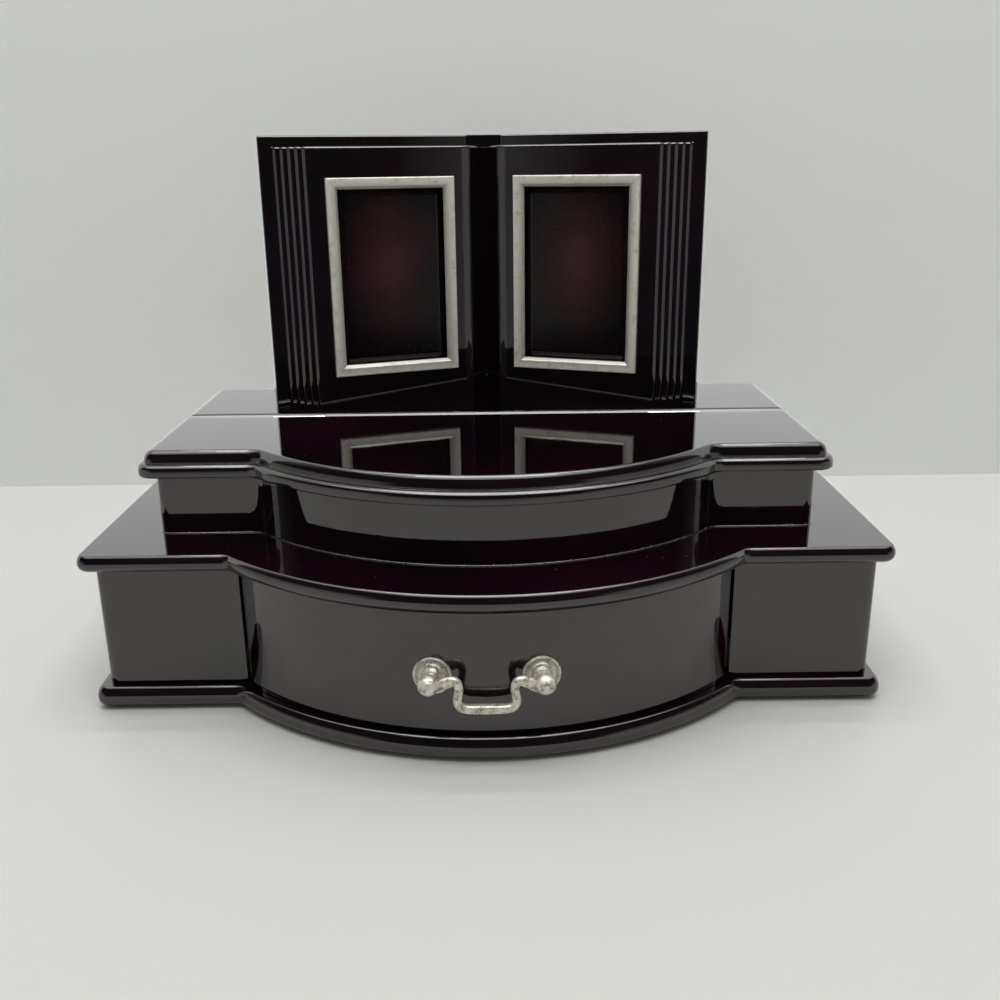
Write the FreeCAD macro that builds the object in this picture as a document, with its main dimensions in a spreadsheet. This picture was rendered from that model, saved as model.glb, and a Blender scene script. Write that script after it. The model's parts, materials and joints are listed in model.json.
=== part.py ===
import FreeCAD, Part
import math
import os
import re
import Sketcher
from FreeCAD import Rotation, Vector

# Musical jewellery box: a bow-fronted base with a drawer, a smaller bow-fronted tray with a
# hinged lid, and an open book on top that holds two pictures. A musical movement sits on the
# inside of the back wall, behind the drawer.
# +X is to the right, +Y to the back and +Z up. The origin lies on the table, under the middle
# of the base carcass.

doc = FreeCAD.newDocument("musical_jewellery_box")

# Driving dimensions, in millimetres; angles are in degrees.
driving = {
    # Base
    "felt_thickness": 1.0,
    "felt_inset": 6.0,
    "plinth_thickness": 8.0,
    "plinth_overhang": 4.5,
    "plinth_edge_radius": 3.4,
    "carcass_width": 290.0,
    "carcass_depth": 132.0,
    "carcass_height": 47.0,
    "carcass_corner_radius": 4.0,
    "base_wall": 6.0,
    "stile_thickness": 8.0,
    "deck_thickness": 6.5,
    "deck_overhang": 5.0,
    "deck_edge_radius": 3.0,
    "board_corner_radius": 5.0,
    "bow_radius": 127.0,
    "bow_depth": 40.0,
    "base_cove_radius": 4.0,
    # Drawer
    "drawer_end_reveal": 2.6,
    "drawer_side_gap": 1.7,
    "drawer_top_gap": 1.7,
    "drawer_front_thickness": 10.0,
    "drawer_end_thickness": 6.0,
    "drawer_end_radius": 3.0,
    "drawer_box_inset": 1.0,
    "drawer_wall": 5.0,
    "drawer_bottom_thickness": 3.0,
    "drawer_bottom_rise": 3.0,
    "drawer_lining_thickness": 1.5,
    "drawer_sheet_clearance": 0.1,
    "drawer_running_clearance": 0.3,
    "drawer_head_clearance": 2.0,
    "drawer_rear_clearance": 3.0,
    "guide_width": 6.0,
    "guide_height": 12.0,
    "bay_clearance": 4.0,
    "bay_board_thickness": 3.0,
    # Pull
    "pull_spacing": 37.0,
    "pull_lift": -1.2,
    "rosette_radius": 6.8,
    "rosette_edge": 0.9,
    "rosette_dome": 2.7,
    "stud_radius": 1.5,
    "stud_clearance": 0.1,
    "post_radius": 2.1,
    "ball_radius": 3.7,
    "ball_reach": 7.4,
    "nut_radius": 3.2,
    "nut_thickness": 2.4,
    "nut_gap": 0.15,
    "bail_wire_radius": 1.5,
    "bail_pin_radius": 1.0,
    "bail_pin_clearance": 0.1,
    "bail_shoulder": 0.7,
    "bail_drop": 9.0,
    "bail_neck_run": 5.0,
    "bail_leg_sway": 0.7,
    "bail_neck_rise": 1.5,
    "bail_knee_drop": 1.7,
    "bail_belly_rise": 2.7,
    "bail_corner_inset": 1.7,
    "bail_bend_radius": 2.0,
    "bail_grip_bend_radius": 1.7,
    # Upper box
    "upper_side_setback": 19.6,
    "upper_height": 22.5,
    "upper_setback": 20.2,
    "upper_bow_radius": 117.0,
    "upper_bow_depth": 38.0,
    "upper_cove_radius": 8.5,
    "upper_wall": 8.0,
    "upper_corner_radius": 4.0,
    "partition_lap": 4.2,
    "tray_lining_thickness": 1.5,
    "tray_lining_clearance": 0.3,
    "tray_lining_corner": 1.5,
    "divider_thickness": 3.0,
    "divider_height": 13.0,
    "divider_place": 45.0,
    "ring_roll_radius": 4.4,
    "ring_roll_pitch": 9.2,
    "ring_roll_clearance": 0.4,
    "ring_roll_sink": 1.3,
    "ring_front_margin": 18.0,
    # Lid and rear top board
    "lid_step_height": 5.0,
    "lid_step_ledge": 2.5,
    "lid_step_edge": 1.2,
    "lid_top_height": 5.0,
    "lid_ovolo_radius": 4.5,
    "lid_side_overhang": 6.9,
    "lid_front_overhang": 2.5,
    "lid_rear_overhang": 6.0,
    "lid_corner_radius": 7.2,
    "rear_top_depth": 60.5,
    "seam_gap": 1.4,
    "seam_edge_radius": 3.0,
    "lid_lining_thickness": 1.2,
    "lid_lining_inset": 6.0,
    "mirror_width": 120.0,
    "mirror_depth": 44.0,
    "mirror_margin": 4.0,
    "mirror_thickness": 2.0,
    # Hinges
    "hinge_spacing": 160.0,
    "hinge_length": 22.0,
    "hinge_axis_depth": 1.2,
    "knuckle_radius": 0.9,
    "knuckle_length": 7.0,
    "knuckle_gap": 0.3,
    "hinge_pin_radius": 0.45,
    "hinge_fit": 0.03,
    "leaf_thickness": 0.8,
    "leaf_height": 7.5,
    "leaf_gap": 0.9,
    "hinge_pocket_clearance": 0.3,
    "hinge_screw_radius": 0.7,
    "hinge_screw_head_radius": 1.1,
    "hinge_screw_drop": 4.5,
    "hinge_screw_length": 6.0,
    "hinge_screw_spacing": 12.0,
    # Open book
    "leaf_angle": 20.0,
    "book_height": 113.0,
    "book_rear_margin": 15.0,
    "spine_width": 14.2,
    "cover_width": 89.8,
    "cover_thickness": 5.0,
    "cover_edge_radius": 0.8,
    "page_side_margin": 5.6,
    "page_top_margin": 4.4,
    "page_thickness": 9.0,
    "page_step_pitch": 2.7,
    "page_step_round": 1.3,
    "page_top_round": 1.0,
    "gutter_width": 13.0,
    "gutter_drop": 4.6,
    "gutter_gap": 0.2,
    "frame_place": 17.2,
    "frame_rise": 13.9,
    "frame_width": 55.2,
    "frame_height": 82.4,
    "frame_bar": 4.6,
    "frame_thickness": 2.2,
    "frame_bevel": 1.2,
    "frame_edge_radius": 0.5,
    "picture_recess": 2.5,
    "book_screw_radius": 1.5,
    "book_screw_head_radius": 3.0,
    "book_screw_head_height": 2.0,
    "book_screw_length": 20.0,
    "book_screw_place": 30.0,
    "book_screw_spacing": 34.0,
    "screw_clearance": 0.05,
    # Musical movement
    "movement_place": 47.0,
    "bedplate_end_gap": 6.5,
    "bedplate_thickness": 2.4,
    "bedplate_margin": 2.5,
    "running_clearance": 0.05,
    "gear_clearance": 0.1,
    "side_clearance": 0.5,
    "barrel_radius": 11.5,
    "barrel_height": 8.7,
    "barrel_gap": 0.8,
    "crown_inset": 0.2,
    "crown_width": 2.0,
    "crown_height": 1.2,
    "arbor_radius": 1.5,
    "arbor_hole_clearance": 0.6,
    "arbor_cap_radius": 3.0,
    "arbor_cap_height": 0.8,
    "cylinder_radius": 6.3,
    "cylinder_length": 19.0,
    "cylinder_pin_radius": 0.25,
    "cylinder_pin_height": 0.4,
    "movement_shaft_radius": 0.8,
    "pinion_radius": 2.1,
    "bearing_thickness": 1.8,
    "bearing_margin": 3.0,
    "gear_width": 1.2,
    "cylinder_gear_radius": 6.0,
    "governor_pinion_radius": 1.6,
    "governor_wheel_radius": 4.5,
    "tooth_depth": 0.6,
    "worm_radius": 1.2,
    "worm_length": 6.0,
    "fan_radius": 5.0,
    "fan_width": 4.5,
    "fan_gap": 2.0,
    "fan_blade": 0.6,
    "fan_shaft_radius": 0.6,
    "fan_hub_radius": 1.2,
    "comb_thickness": 1.0,
    "comb_depth": 9.5,
    "comb_slot": 0.3,
    "comb_tooth_length": 6.0,
    "comb_tip_clearance": 0.15,
    "comb_screw_radius": 0.9,
    "comb_screw_head_radius": 1.6,
    "comb_screw_head_height": 1.0,
    "comb_screw_length": 6.0,
    "comb_screw_inset": 5.0,
    "movement_screw_radius": 1.2,
    "movement_screw_head_radius": 2.2,
    "movement_screw_head_height": 1.4,
    "movement_screw_length": 7.0,
    "movement_screw_inset": 3.0,
    "key_gap": 3.0,
    "key_stem_radius": 3.2,
    "key_stem_length": 12.0,
    "key_bore_depth": 8.4,
    "key_lobe_radius": 6.5,
    "key_lobe_spread": 6.2,
    "key_lobe_lift": 2.0,
    "key_lobe_hole": 2.6,
    "key_thickness": 2.6,
    # Stop wire
    "wire_radius": 0.8,
    "wire_clearance": 0.4,
    "wire_travel": 3.0,
    "wire_seam_distance": 6.0,
    "wire_jog_rise": 7.5,
    "wire_lid_clearance": 0.3,
    "wire_fan_clearance": 0.3,
}

# Counts of what repeats.
page_steps = 5
comb_teeth = 18
crown_teeth = 40
pinion_teeth = 10
cylinder_gear_teeth = 36
governor_pinion_teeth = 8
governor_wheel_teeth = 24
pins_per_tooth = 3
worm_turns = 5

# The largest share of a board that an edge rounding takes: on both of its edges, or on one.
both_edges_share = 0.48
one_edge_share = 0.9

# Places that follow from the driving dimensions.
derived = {
    "carcass_front": "-carcass_depth / 2",
    "carcass_rear": "carcass_depth / 2",
    "plinth_top": "felt_thickness + plinth_thickness",
    "deck_bottom": "plinth_top + carcass_height",
    "deck_top": "deck_bottom + deck_thickness",
    "lid_bottom": "deck_top + upper_height",
    "lid_step_top": "lid_bottom + lid_step_height",
    "lid_top": "lid_step_top + lid_top_height",
    "base_half": "carcass_width / 2",
    "bow_centre": "carcass_front - bow_depth + bow_radius",
    "bow_apex": "carcass_front - bow_depth",
    "wall_inside": "carcass_rear - base_wall",
    "bed_front": "wall_inside - bedplate_thickness",
    "barrel_front": "bed_front - barrel_gap - barrel_height",
    "crown_front": "barrel_front - crown_height",
    "cylinder_y": "crown_front - gear_clearance - pinion_radius",
    "cylinder_front": "cylinder_y - cylinder_radius - cylinder_pin_height",
    "bay_front": "cylinder_front - bay_clearance",
    "bay_board_front": "bay_front - bay_board_thickness",
    "drawer_half": "sqrt(bow_radius^2 - (bow_radius - bow_depth + drawer_end_reveal)^2)",
    "opening_half": "drawer_half + drawer_side_gap",
    "drawer_box_half": "drawer_half - drawer_box_inset",
    "drawer_inner_half": "drawer_box_half - drawer_wall",
    "drawer_low": "plinth_top + drawer_running_clearance",
    "drawer_high": "deck_bottom - drawer_head_clearance",
    "drawer_seat": "carcass_front + drawer_end_thickness",
    "drawer_rear": "bay_board_front - drawer_rear_clearance",
    "drawer_floor": "drawer_low + drawer_bottom_rise + drawer_bottom_thickness",
    "pull_height": "plinth_top + carcass_height / 2 + pull_lift",
    "pull_angle": "asin(pull_spacing / 2 / bow_radius)",
    "pivot_x": "(bow_radius + ball_reach) * pull_spacing / 2 / bow_radius",
    "pivot_y": "bow_centre - sqrt((bow_radius + ball_reach)^2 - pivot_x^2)",
    "upper_half": "base_half - upper_side_setback",
    "upper_inner_half": "upper_half - upper_wall",
    "upper_front": "carcass_front + upper_setback",
    "upper_apex": "upper_front - upper_bow_depth",
    "top_half": "upper_half + lid_side_overhang",
    "lid_front": "upper_front - lid_front_overhang",
    "lid_apex": "upper_apex - lid_front_overhang",
    "lid_bow_radius": "upper_bow_radius + lid_front_overhang",
    "lid_cove_radius": "upper_cove_radius - lid_front_overhang",
    "top_rear": "carcass_rear + lid_rear_overhang",
    "seam_place": "top_rear - rear_top_depth",
    "lid_rear": "seam_place - seam_gap / 2",
    "rear_top_front": "seam_place + seam_gap / 2",
    "partition_front": "seam_place - partition_lap",
    "partition_rear": "seam_place + partition_lap",
    "hinge_height": "lid_top - hinge_axis_depth",
    "tray_floor": "deck_top + tray_lining_thickness",
    "book_centre": "top_rear - book_rear_margin",
    "spine_reach": "spine_width / 2 / cos(leaf_angle)",
    "spine_front": "book_centre - spine_reach * sin(leaf_angle)",
    "page_reach": "spine_reach + cover_width - page_side_margin",
    "page_height": "book_height - page_top_margin",
    "movement_height": "plinth_top + carcass_height / 2",
    "near_bearing": "movement_place + barrel_radius + side_clearance",
    "cylinder_start": "near_bearing + bearing_thickness + side_clearance",
    "cylinder_end": "cylinder_start + cylinder_length",
    "far_bearing": "cylinder_end + gear_width + side_clearance",
    "fan_x": "far_bearing + bearing_thickness + worm_radius + side_clearance",
    "wheel_start": "fan_x - gear_width / 2",
    "governor_z": "movement_height + cylinder_gear_radius + governor_pinion_radius + gear_clearance",
    "fan_z": "governor_z + governor_wheel_radius + worm_radius + gear_clearance",
    "fan_rear": "bed_front - fan_gap",
    "fan_middle": "fan_rear - fan_width / 2",
    "bed_left": "movement_place - barrel_radius - bedplate_margin",
    "bed_right": "fan_x + fan_radius + bedplate_margin",
    "bed_low": "plinth_top + bedplate_end_gap",
    "bed_high": "deck_bottom - bedplate_end_gap",
    "comb_tip": "movement_height - cylinder_radius - cylinder_pin_height - comb_tip_clearance",
    "comb_front": "cylinder_y - comb_thickness / 2",
    "comb_rear": "cylinder_y + comb_thickness / 2",
    "wire_top": "lid_bottom - wire_lid_clearance",
    "wire_low": "fan_z + fan_radius + wire_fan_clearance",
    "wire_front": "seam_place - wire_seam_distance",
    "wire_jog": "deck_top + wire_jog_rise",
}


def bind(text, inside=None):
    # Points each named size of a formula at the sheet that holds it.
    def point(word):
        name = word.group()
        if name in driving:
            return "sizes." + name
        if name in derived and inside != "layout":
            return "layout." + name
        return name
    return re.sub(r"[a-z][a-z_]+", point, text)


def fill(sheet, cells):
    for row, (alias, content) in enumerate(cells.items(), 1):
        sheet.set(f"A{row}", alias)
        sheet.set(f"B{row}", content)
        sheet.setAlias(f"B{row}", alias)
    doc.recompute()


sizes = doc.addObject("Spreadsheet::Sheet", "sizes")
fill(sizes, {alias: str(size) for alias, size in driving.items()})
layout = doc.addObject("Spreadsheet::Sheet", "layout")
fill(layout, {alias: "=" + bind(formula, "layout") for alias, formula in derived.items()})

pieces = []


def piece(name, shape_object):
    # A finished sub-part: its label names its file.
    shape_object.Label = name
    pieces.append(shape_object)
    return shape_object


def number(text):
    return float(sizes.evalExpression(bind(str(text))))


def place(shape_object, x="0", y="0", z="0"):
    for axis, formula in (("x", x), ("y", y), ("z", z)):
        shape_object.setExpression(f"Placement.Base.{axis}", bind(formula))
    return shape_object


def block(name, x, y, z):
    # A box between two places on each axis.
    box = doc.addObject("Part::Box", name)
    for side, (low, high) in (("Length", x), ("Width", y), ("Height", z)):
        box.setExpression(side, bind(f"({high}) - ({low})"))
    return place(box, x[0], y[0], z[0])


along = {
    "x": Rotation(Vector(0, 0, 1), Vector(1, 0, 0)),
    "y": Rotation(Vector(0, 0, 1), Vector(0, 1, 0)),
    "z": Rotation(),
}


def rod(name, axis, radius, start, length):
    cylinder = doc.addObject("Part::Cylinder", name)
    cylinder.Placement.Rotation = along[axis]
    cylinder.setExpression("Radius", bind(radius))
    cylinder.setExpression("Height", bind(length))
    return place(cylinder, *start)


def ball(name, radius, centre):
    sphere = doc.addObject("Part::Sphere", name)
    sphere.setExpression("Radius", bind(radius))
    return place(sphere, *centre)


def fuse(name, *shapes):
    union = doc.addObject("Part::MultiFuse", name)
    union.Shapes = list(shapes)
    union.Refine = True
    return union


def group(name, *shapes):
    # Separate solids in one node.
    compound = doc.addObject("Part::Compound", name)
    compound.Links = list(shapes)
    return compound


def cut(name, base, *tools):
    difference = doc.addObject("Part::Cut", name)
    difference.Base = base
    difference.Tool = tools[0] if len(tools) == 1 else group(name + "_tools", *tools)
    return difference


def common(name, *shapes):
    overlap = doc.addObject("Part::MultiCommon", name)
    overlap.Shapes = list(shapes)
    return overlap


def mirrored(name, source):
    image = doc.addObject("Part::Mirroring", name)
    image.Source = source
    image.Normal = Vector(1, 0, 0)
    return image


def rounded(name, base, radius, chosen):
    # Rounds the edges that the rule picks.
    doc.recompute()
    size = number(radius)
    fillet = doc.addObject("Part::Fillet", name)
    fillet.Base = base
    fillet.Edges = [
        (index, size, size)
        for index, edge in enumerate(base.Shape.Edges, 1)
        if chosen(edge)
    ]
    return fillet


def near(first, second):
    return abs(first - second) < 1e-4


def level(*heights):
    # Picks the edges that lie flat at one of these heights.
    planes = [number(height) for height in heights]

    def chosen(edge):
        box = edge.BoundBox
        return near(box.ZMin, box.ZMax) and any(near(box.ZMin, plane) for plane in planes)
    return chosen


def upright_at(x, y):
    # Picks the upright edge at this place.
    def chosen(edge):
        box = edge.BoundBox
        return near(box.XMin, number(x)) and near(box.XMax, number(x)) \
            and near(box.YMin, number(y)) and near(box.YMax, number(y))
    return chosen


def sketch_on(body, name, plane, corners):
    # A closed outline. Each corner is (x, y, bend), where bend shapes the side that leaves it:
    # None for a straight side, or ("left" or "right", radius) for an arc that turns that way.
    sketch = body.newObject("Sketcher::SketchObject", name)
    support = [item for item in body.Origin.OriginFeatures if item.Role == plane][0]
    sketch.AttachmentSupport = [(support, "")]
    sketch.MapMode = "FlatFace"
    points = [Vector(number(x), number(y)) for x, y, bend in corners]
    sides = []

    def constrain(formula, *constraint):
        index = sketch.addConstraint(Sketcher.Constraint(*constraint, number(formula)))
        sketch.setExpression(f"Constraints[{index}]", bind(formula))

    for start, (x, y, bend), end in zip(points, corners, points[1:] + points[:1]):
        if bend is None:
            sides.append((sketch.addGeometry(Part.LineSegment(start, end)), 1, 2))
            continue
        turn, radius = bend
        size = number(radius)
        chord = end - start
        rise = math.sqrt(max(size ** 2 - chord.Length ** 2 / 4, 0))
        inward = Vector(-chord.y, chord.x) / chord.Length * (rise if turn == "left" else -rise)
        centre = (start + end) / 2 + inward
        first, last = (start, end) if turn == "left" else (end, start)
        arc = Part.ArcOfCircle(
            Part.Circle(centre, Vector(0, 0, 1), size),
            math.atan2(first.y - centre.y, first.x - centre.x),
            math.atan2(last.y - centre.y, last.x - centre.x),
        )
        index = sketch.addGeometry(arc)
        sides.append((index, 1, 2) if turn == "left" else (index, 2, 1))
        constrain(radius, "Radius", index)
    for (side, start, end), following in zip(sides, sides[1:] + sides[:1]):
        sketch.addConstraint(
            Sketcher.Constraint("Coincident", side, end, following[0], following[1]))
    for (side, start, end), (x, y, bend) in zip(sides, corners):
        constrain(x, "DistanceX", -1, 1, side, start)
        constrain(y, "DistanceY", -1, 1, side, start)
    return sketch


def prism(name, corners, low, high):
    # An upright slab of this outline, between two heights.
    body = doc.addObject("PartDesign::Body", name)
    pad = body.newObject("PartDesign::Pad", name + "_pad")
    pad.Profile = sketch_on(body, name + "_outline", "XY_Plane", corners)
    pad.setExpression("Length", bind(f"({high}) - ({low})"))
    return place(body, z=low)


def turned(name, corners):
    # A turned piece: corners are (radius, place along +Y, bend).
    body = doc.addObject("PartDesign::Body", name)
    revolution = body.newObject("PartDesign::Revolution", name + "_turning")
    outline = sketch_on(body, name + "_outline", "XY_Plane", corners)
    revolution.Profile = outline
    revolution.ReferenceAxis = (outline, ["V_Axis"])
    revolution.Angle = 360
    return body


def bow_outline(half, front, apex, radius, cove, rear, corner, rear_corner=None):
    # A board with a straight back, straight ends and a bowed front that joins its flats in coves.
    drop = f"(({apex}) + ({radius}) - ({front}) + ({cove}))"
    span = f"(({radius}) + ({cove}))"
    cove_x = f"sqrt({span}^2 - {drop}^2)"
    meet_x = f"{cove_x} * ({radius}) / {span}"
    meet_y = f"({apex}) + ({radius}) - {drop} * ({radius}) / {span}"
    turn = ("left", corner)
    right = [
        (meet_x, meet_y, ("right", cove)),
        (cove_x, front, None),
        (f"({half}) - ({corner})", front, turn),
        (half, f"({front}) + ({corner})", None),
    ]
    if rear_corner:
        right += [
            (half, f"({rear}) - ({rear_corner})", ("left", rear_corner)),
            (f"({half}) - ({rear_corner})", rear, None),
        ]
    else:
        right += [(half, rear, None)]
    bends = [bend for x, y, bend in reversed(right)]
    left = [(f"-({x})", y, None) for x, y, bend in reversed(right)]
    # A side on the left runs the other way, so it takes the bend of the side before it.
    left = [(x, y, bend) for (x, y, none), bend in zip(left, bends[1:] + [("left", radius)])]
    return left[-1:] + right + left[:-1]


def plate_outline(half, front, rear, front_corner=None, rear_corner=None):
    # A rectangular board, with its corners rounded where a radius is given.
    corners = []
    if front_corner:
        corners += [
            (f"-({half}) + ({front_corner})", front, None),
            (f"({half}) - ({front_corner})", front, ("left", front_corner)),
            (half, f"({front}) + ({front_corner})", None),
        ]
    else:
        corners += [(f"-({half})", front, None), (half, front, None)]
    if rear_corner:
        corners += [
            (half, f"({rear}) - ({rear_corner})", ("left", rear_corner)),
            (f"({half}) - ({rear_corner})", rear, None),
            (f"-({half}) + ({rear_corner})", rear, ("left", rear_corner)),
            (f"-({half})", f"({rear}) - ({rear_corner})", None),
        ]
    else:
        corners += [(half, rear, None), (f"-({half})", rear, None)]
    if front_corner:
        corners += [(f"-({half})", f"({front}) + ({front_corner})", ("left", front_corner))]
    return corners


# Base: felt, plinth and deck share the bow of the drawer, each with its own overhang.
def base_board(name, overhang, low, high, cove="base_cove_radius", corner="board_corner_radius"):
    return prism(name, bow_outline(
        f"base_half + {overhang}",
        f"carcass_front - ({overhang})",
        f"bow_apex - ({overhang})",
        f"bow_radius + {overhang}",
        cove,
        f"carcass_rear + {overhang}",
        corner,
        corner,
    ), low, high)


piece("base_felt", base_board(
    "base_felt", "(plinth_overhang - felt_inset)", "0", "felt_thickness",
    "base_cove_radius + felt_inset"))
plinth_slab = base_board("plinth_slab", "plinth_overhang", "felt_thickness", "plinth_top")
piece("plinth_board", rounded(
    "plinth_board", plinth_slab, f"min(plinth_edge_radius; plinth_thickness * {both_edges_share})",
    level("felt_thickness", "plinth_top")))

deck_slab = base_board("deck_slab", "deck_overhang", "deck_bottom", "deck_top")
deck_edged = rounded(
    "deck_edged", deck_slab, f"min(deck_edge_radius; deck_thickness * {both_edges_share})",
    level("deck_bottom", "deck_top"))
wire_guide = rod(
    "wire_guide", "z", "wire_radius + wire_clearance", ("fan_x", "fan_middle", "deck_bottom"),
    "deck_thickness")
piece("deck_board", cut("deck_board", deck_edged, wire_guide))

# Carcass: stiles in front, sides and back behind them.
carcass_rise = ("plinth_top", "deck_bottom")
stile_square = block(
    "stile_square", ("opening_half", "base_half"),
    ("carcass_front", "carcass_front + stile_thickness"), carcass_rise)
right_stile = rounded(
    "base_right_front_stile", stile_square, "carcass_corner_radius",
    upright_at("base_half", "carcass_front"))
piece("base_right_front_stile", right_stile)
piece("base_left_front_stile", mirrored("base_left_front_stile", right_stile))
side_square = block(
    "side_square", ("base_half - base_wall", "base_half"),
    ("carcass_front + stile_thickness", "carcass_rear"), carcass_rise)
right_side = rounded(
    "base_right_side", side_square, f"min(carcass_corner_radius; base_wall * {one_edge_share})",
    upright_at("base_half", "carcass_rear"))
piece("base_right_side", right_side)
piece("base_left_side", mirrored("base_left_side", right_side))

back_blank = block(
    "back_blank", ("base_wall - base_half", "base_half - base_wall"),
    ("wall_inside", "carcass_rear"), carcass_rise)
key_hole = rod(
    "key_hole", "y", "arbor_radius + arbor_hole_clearance",
    ("movement_place", "wall_inside", "movement_height"), "base_wall")

# Drawer guides, and the board that closes off the bay of the movement.
right_guide = block(
    "right_drawer_guide",
    ("drawer_box_half + drawer_running_clearance",
     "drawer_box_half + drawer_running_clearance + guide_width"),
    ("carcass_front + stile_thickness", "bay_board_front"),
    ("plinth_top", "plinth_top + guide_height"))
piece("right_drawer_guide", right_guide)
piece("left_drawer_guide", mirrored("left_drawer_guide", right_guide))
piece("bay_back_board", block(
    "bay_back_board", ("base_wall - base_half", "base_half - base_wall"),
    ("bay_board_front", "bay_front"), carcass_rise))

# Drawer: a bowed front with rounded ends, a plain box behind it and a felt lining.
front_rise = ("drawer_low", "deck_bottom - drawer_top_gap")
bow_meets_end = "carcass_front - drawer_end_reveal"
drawer_blank = prism("drawer_blank", [
    ("-drawer_half", bow_meets_end, ("left", "bow_radius")),
    ("drawer_half", bow_meets_end, None),
    ("drawer_half", "drawer_seat", None),
    ("-drawer_half", "drawer_seat", None),
], *front_rise)
drawer_eased = rounded(
    "drawer_eased", drawer_blank,
    f"min(drawer_end_radius; drawer_end_thickness * {one_edge_share})",
    lambda edge: upright_at("drawer_half", bow_meets_end)(edge)
    or upright_at("-drawer_half", bow_meets_end)(edge))
drawer_hollow = rod(
    "drawer_hollow", "z", "bow_radius - drawer_front_thickness",
    ("0", "bow_centre", front_rise[0]), f"({front_rise[1]}) - ({front_rise[0]})")


def swung(shape_object, side):
    # Turns a piece of the pull about the axis of the bow, so that it stands square on the front.
    shape_object.Placement.Rotation = Rotation(Vector(0, 0, 1), 0)
    angle = "pull_angle" if side == "right" else "-pull_angle"
    shape_object.setExpression("Placement.Rotation.Angle", bind(angle))
    return shape_object


def on_bow(body, side):
    # Seats a turned piece of the pull on the outer face of the drawer front.
    sign = "" if side == "right" else "-"
    swung(body, side)
    return place(
        body, f"{sign}pull_spacing / 2",
        "bow_centre - sqrt(bow_radius^2 - (pull_spacing / 2)^2)", "pull_height")


sides = ("left", "right")
stud_end = "drawer_front_thickness + nut_gap + nut_thickness + stud_radius"
stud_holes = []
for side in sides:
    hole = turned(side + "_stud_hole", [
        ("0", "-drawer_front_thickness", None),
        ("stud_radius + stud_clearance", "-drawer_front_thickness", None),
        ("stud_radius + stud_clearance", stud_end, None),
        ("0", stud_end, None),
    ])
    stud_holes.append(on_bow(hole, side))
piece("drawer_front", cut("drawer_front", drawer_eased, drawer_hollow, *stud_holes))

drawer_side = block(
    "drawer_right_side", ("drawer_inner_half", "drawer_box_half"),
    ("drawer_seat", "drawer_rear"), ("drawer_low", "drawer_high"))
piece("drawer_right_side", drawer_side)
piece("drawer_left_side", mirrored("drawer_left_side", drawer_side))
piece("drawer_back", block(
    "drawer_back", ("-drawer_inner_half", "drawer_inner_half"),
    ("drawer_rear - drawer_wall", "drawer_rear"), ("drawer_low", "drawer_high")))


def drawer_sheet(name, low, high, inset):
    # A sheet that fills the drawer from the hollow of its front to its back.
    half = f"drawer_inner_half - ({inset})"
    blank = block(
        name + "_blank", (f"-({half})", half), ("bow_apex", f"drawer_rear - drawer_wall - ({inset})"),
        (low, high))
    hollow = rod(
        name + "_hollow", "z",
        f"bow_radius - drawer_front_thickness - drawer_sheet_clearance - ({inset})",
        ("0", "bow_centre", low), f"({high}) - ({low})")
    return common(name, blank, hollow)


piece("drawer_bottom", drawer_sheet(
    "drawer_bottom", "drawer_low + drawer_bottom_rise", "drawer_floor", "0"))
piece("drawer_lining", drawer_sheet(
    "drawer_lining", "drawer_floor", "drawer_floor + drawer_lining_thickness",
    "drawer_running_clearance"))

# Pull: domed rosettes, ball-ended posts with their nuts, and the bail that swings between them.
rosettes = []
posts = []
nuts = []
neck_end = "-ball_reach + sqrt(ball_radius^2 - post_radius^2)"
dome_rise = "(rosette_dome - rosette_edge)"
dome_run = "(rosette_radius - post_radius)"
dome_radius = f"({dome_rise}^2 + {dome_run}^2) / (2 * {dome_rise})"
for side in sides:
    rosette = turned(side + "_rosette", [
        ("stud_radius + stud_clearance", "0", None),
        ("stud_radius + stud_clearance", "-rosette_dome", None),
        ("post_radius", "-rosette_dome", ("left", dome_radius)),
        ("rosette_radius", "-rosette_edge", None),
        ("rosette_radius", "0", None),
    ])
    rosettes.append(on_bow(rosette, side))
    post = turned(side + "_post_blank", [
        ("0", stud_end, None),
        ("0", "-ball_reach - ball_radius", ("left", "ball_radius")),
        ("post_radius", neck_end, None),
        ("post_radius", "-rosette_dome", None),
        ("stud_radius", "-rosette_dome", None),
        ("stud_radius", stud_end, None),
    ])
    on_bow(post, side)
    bore = rod(
        side + "_pivot_bore", "x", "bail_pin_radius + bail_pin_clearance",
        ("pivot_x - ball_radius" if side == "right" else "-pivot_x", "pivot_y", "pull_height"),
        "ball_radius")
    posts.append(cut(side + "_post", post, bore))
    hexagon = [
        (f"nut_radius * cos({corner * 60})", f"nut_radius * sin({corner * 60})", None)
        for corner in range(6)
    ]
    nut_blank = doc.addObject("PartDesign::Body", side + "_nut_blank")
    nut_pad = nut_blank.newObject("PartDesign::Pad", side + "_nut_pad")
    nut_pad.Profile = sketch_on(nut_blank, side + "_nut_outline", "XZ_Plane", hexagon)
    nut_pad.setExpression("Length", bind("nut_thickness"))
    nut_pad.Profile[0].setExpression(
        "AttachmentOffset.Base.z", bind("-drawer_front_thickness - nut_gap - nut_thickness"))
    nuts.append(cut(side + "_nut", on_bow(nut_blank, side), stud_holes[sides.index(side)]))
piece("handle_rosettes", group("handle_rosettes", *rosettes))
piece("handle_posts", group("handle_posts", *posts))
piece("handle_nuts", group("handle_nuts", *nuts))


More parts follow.
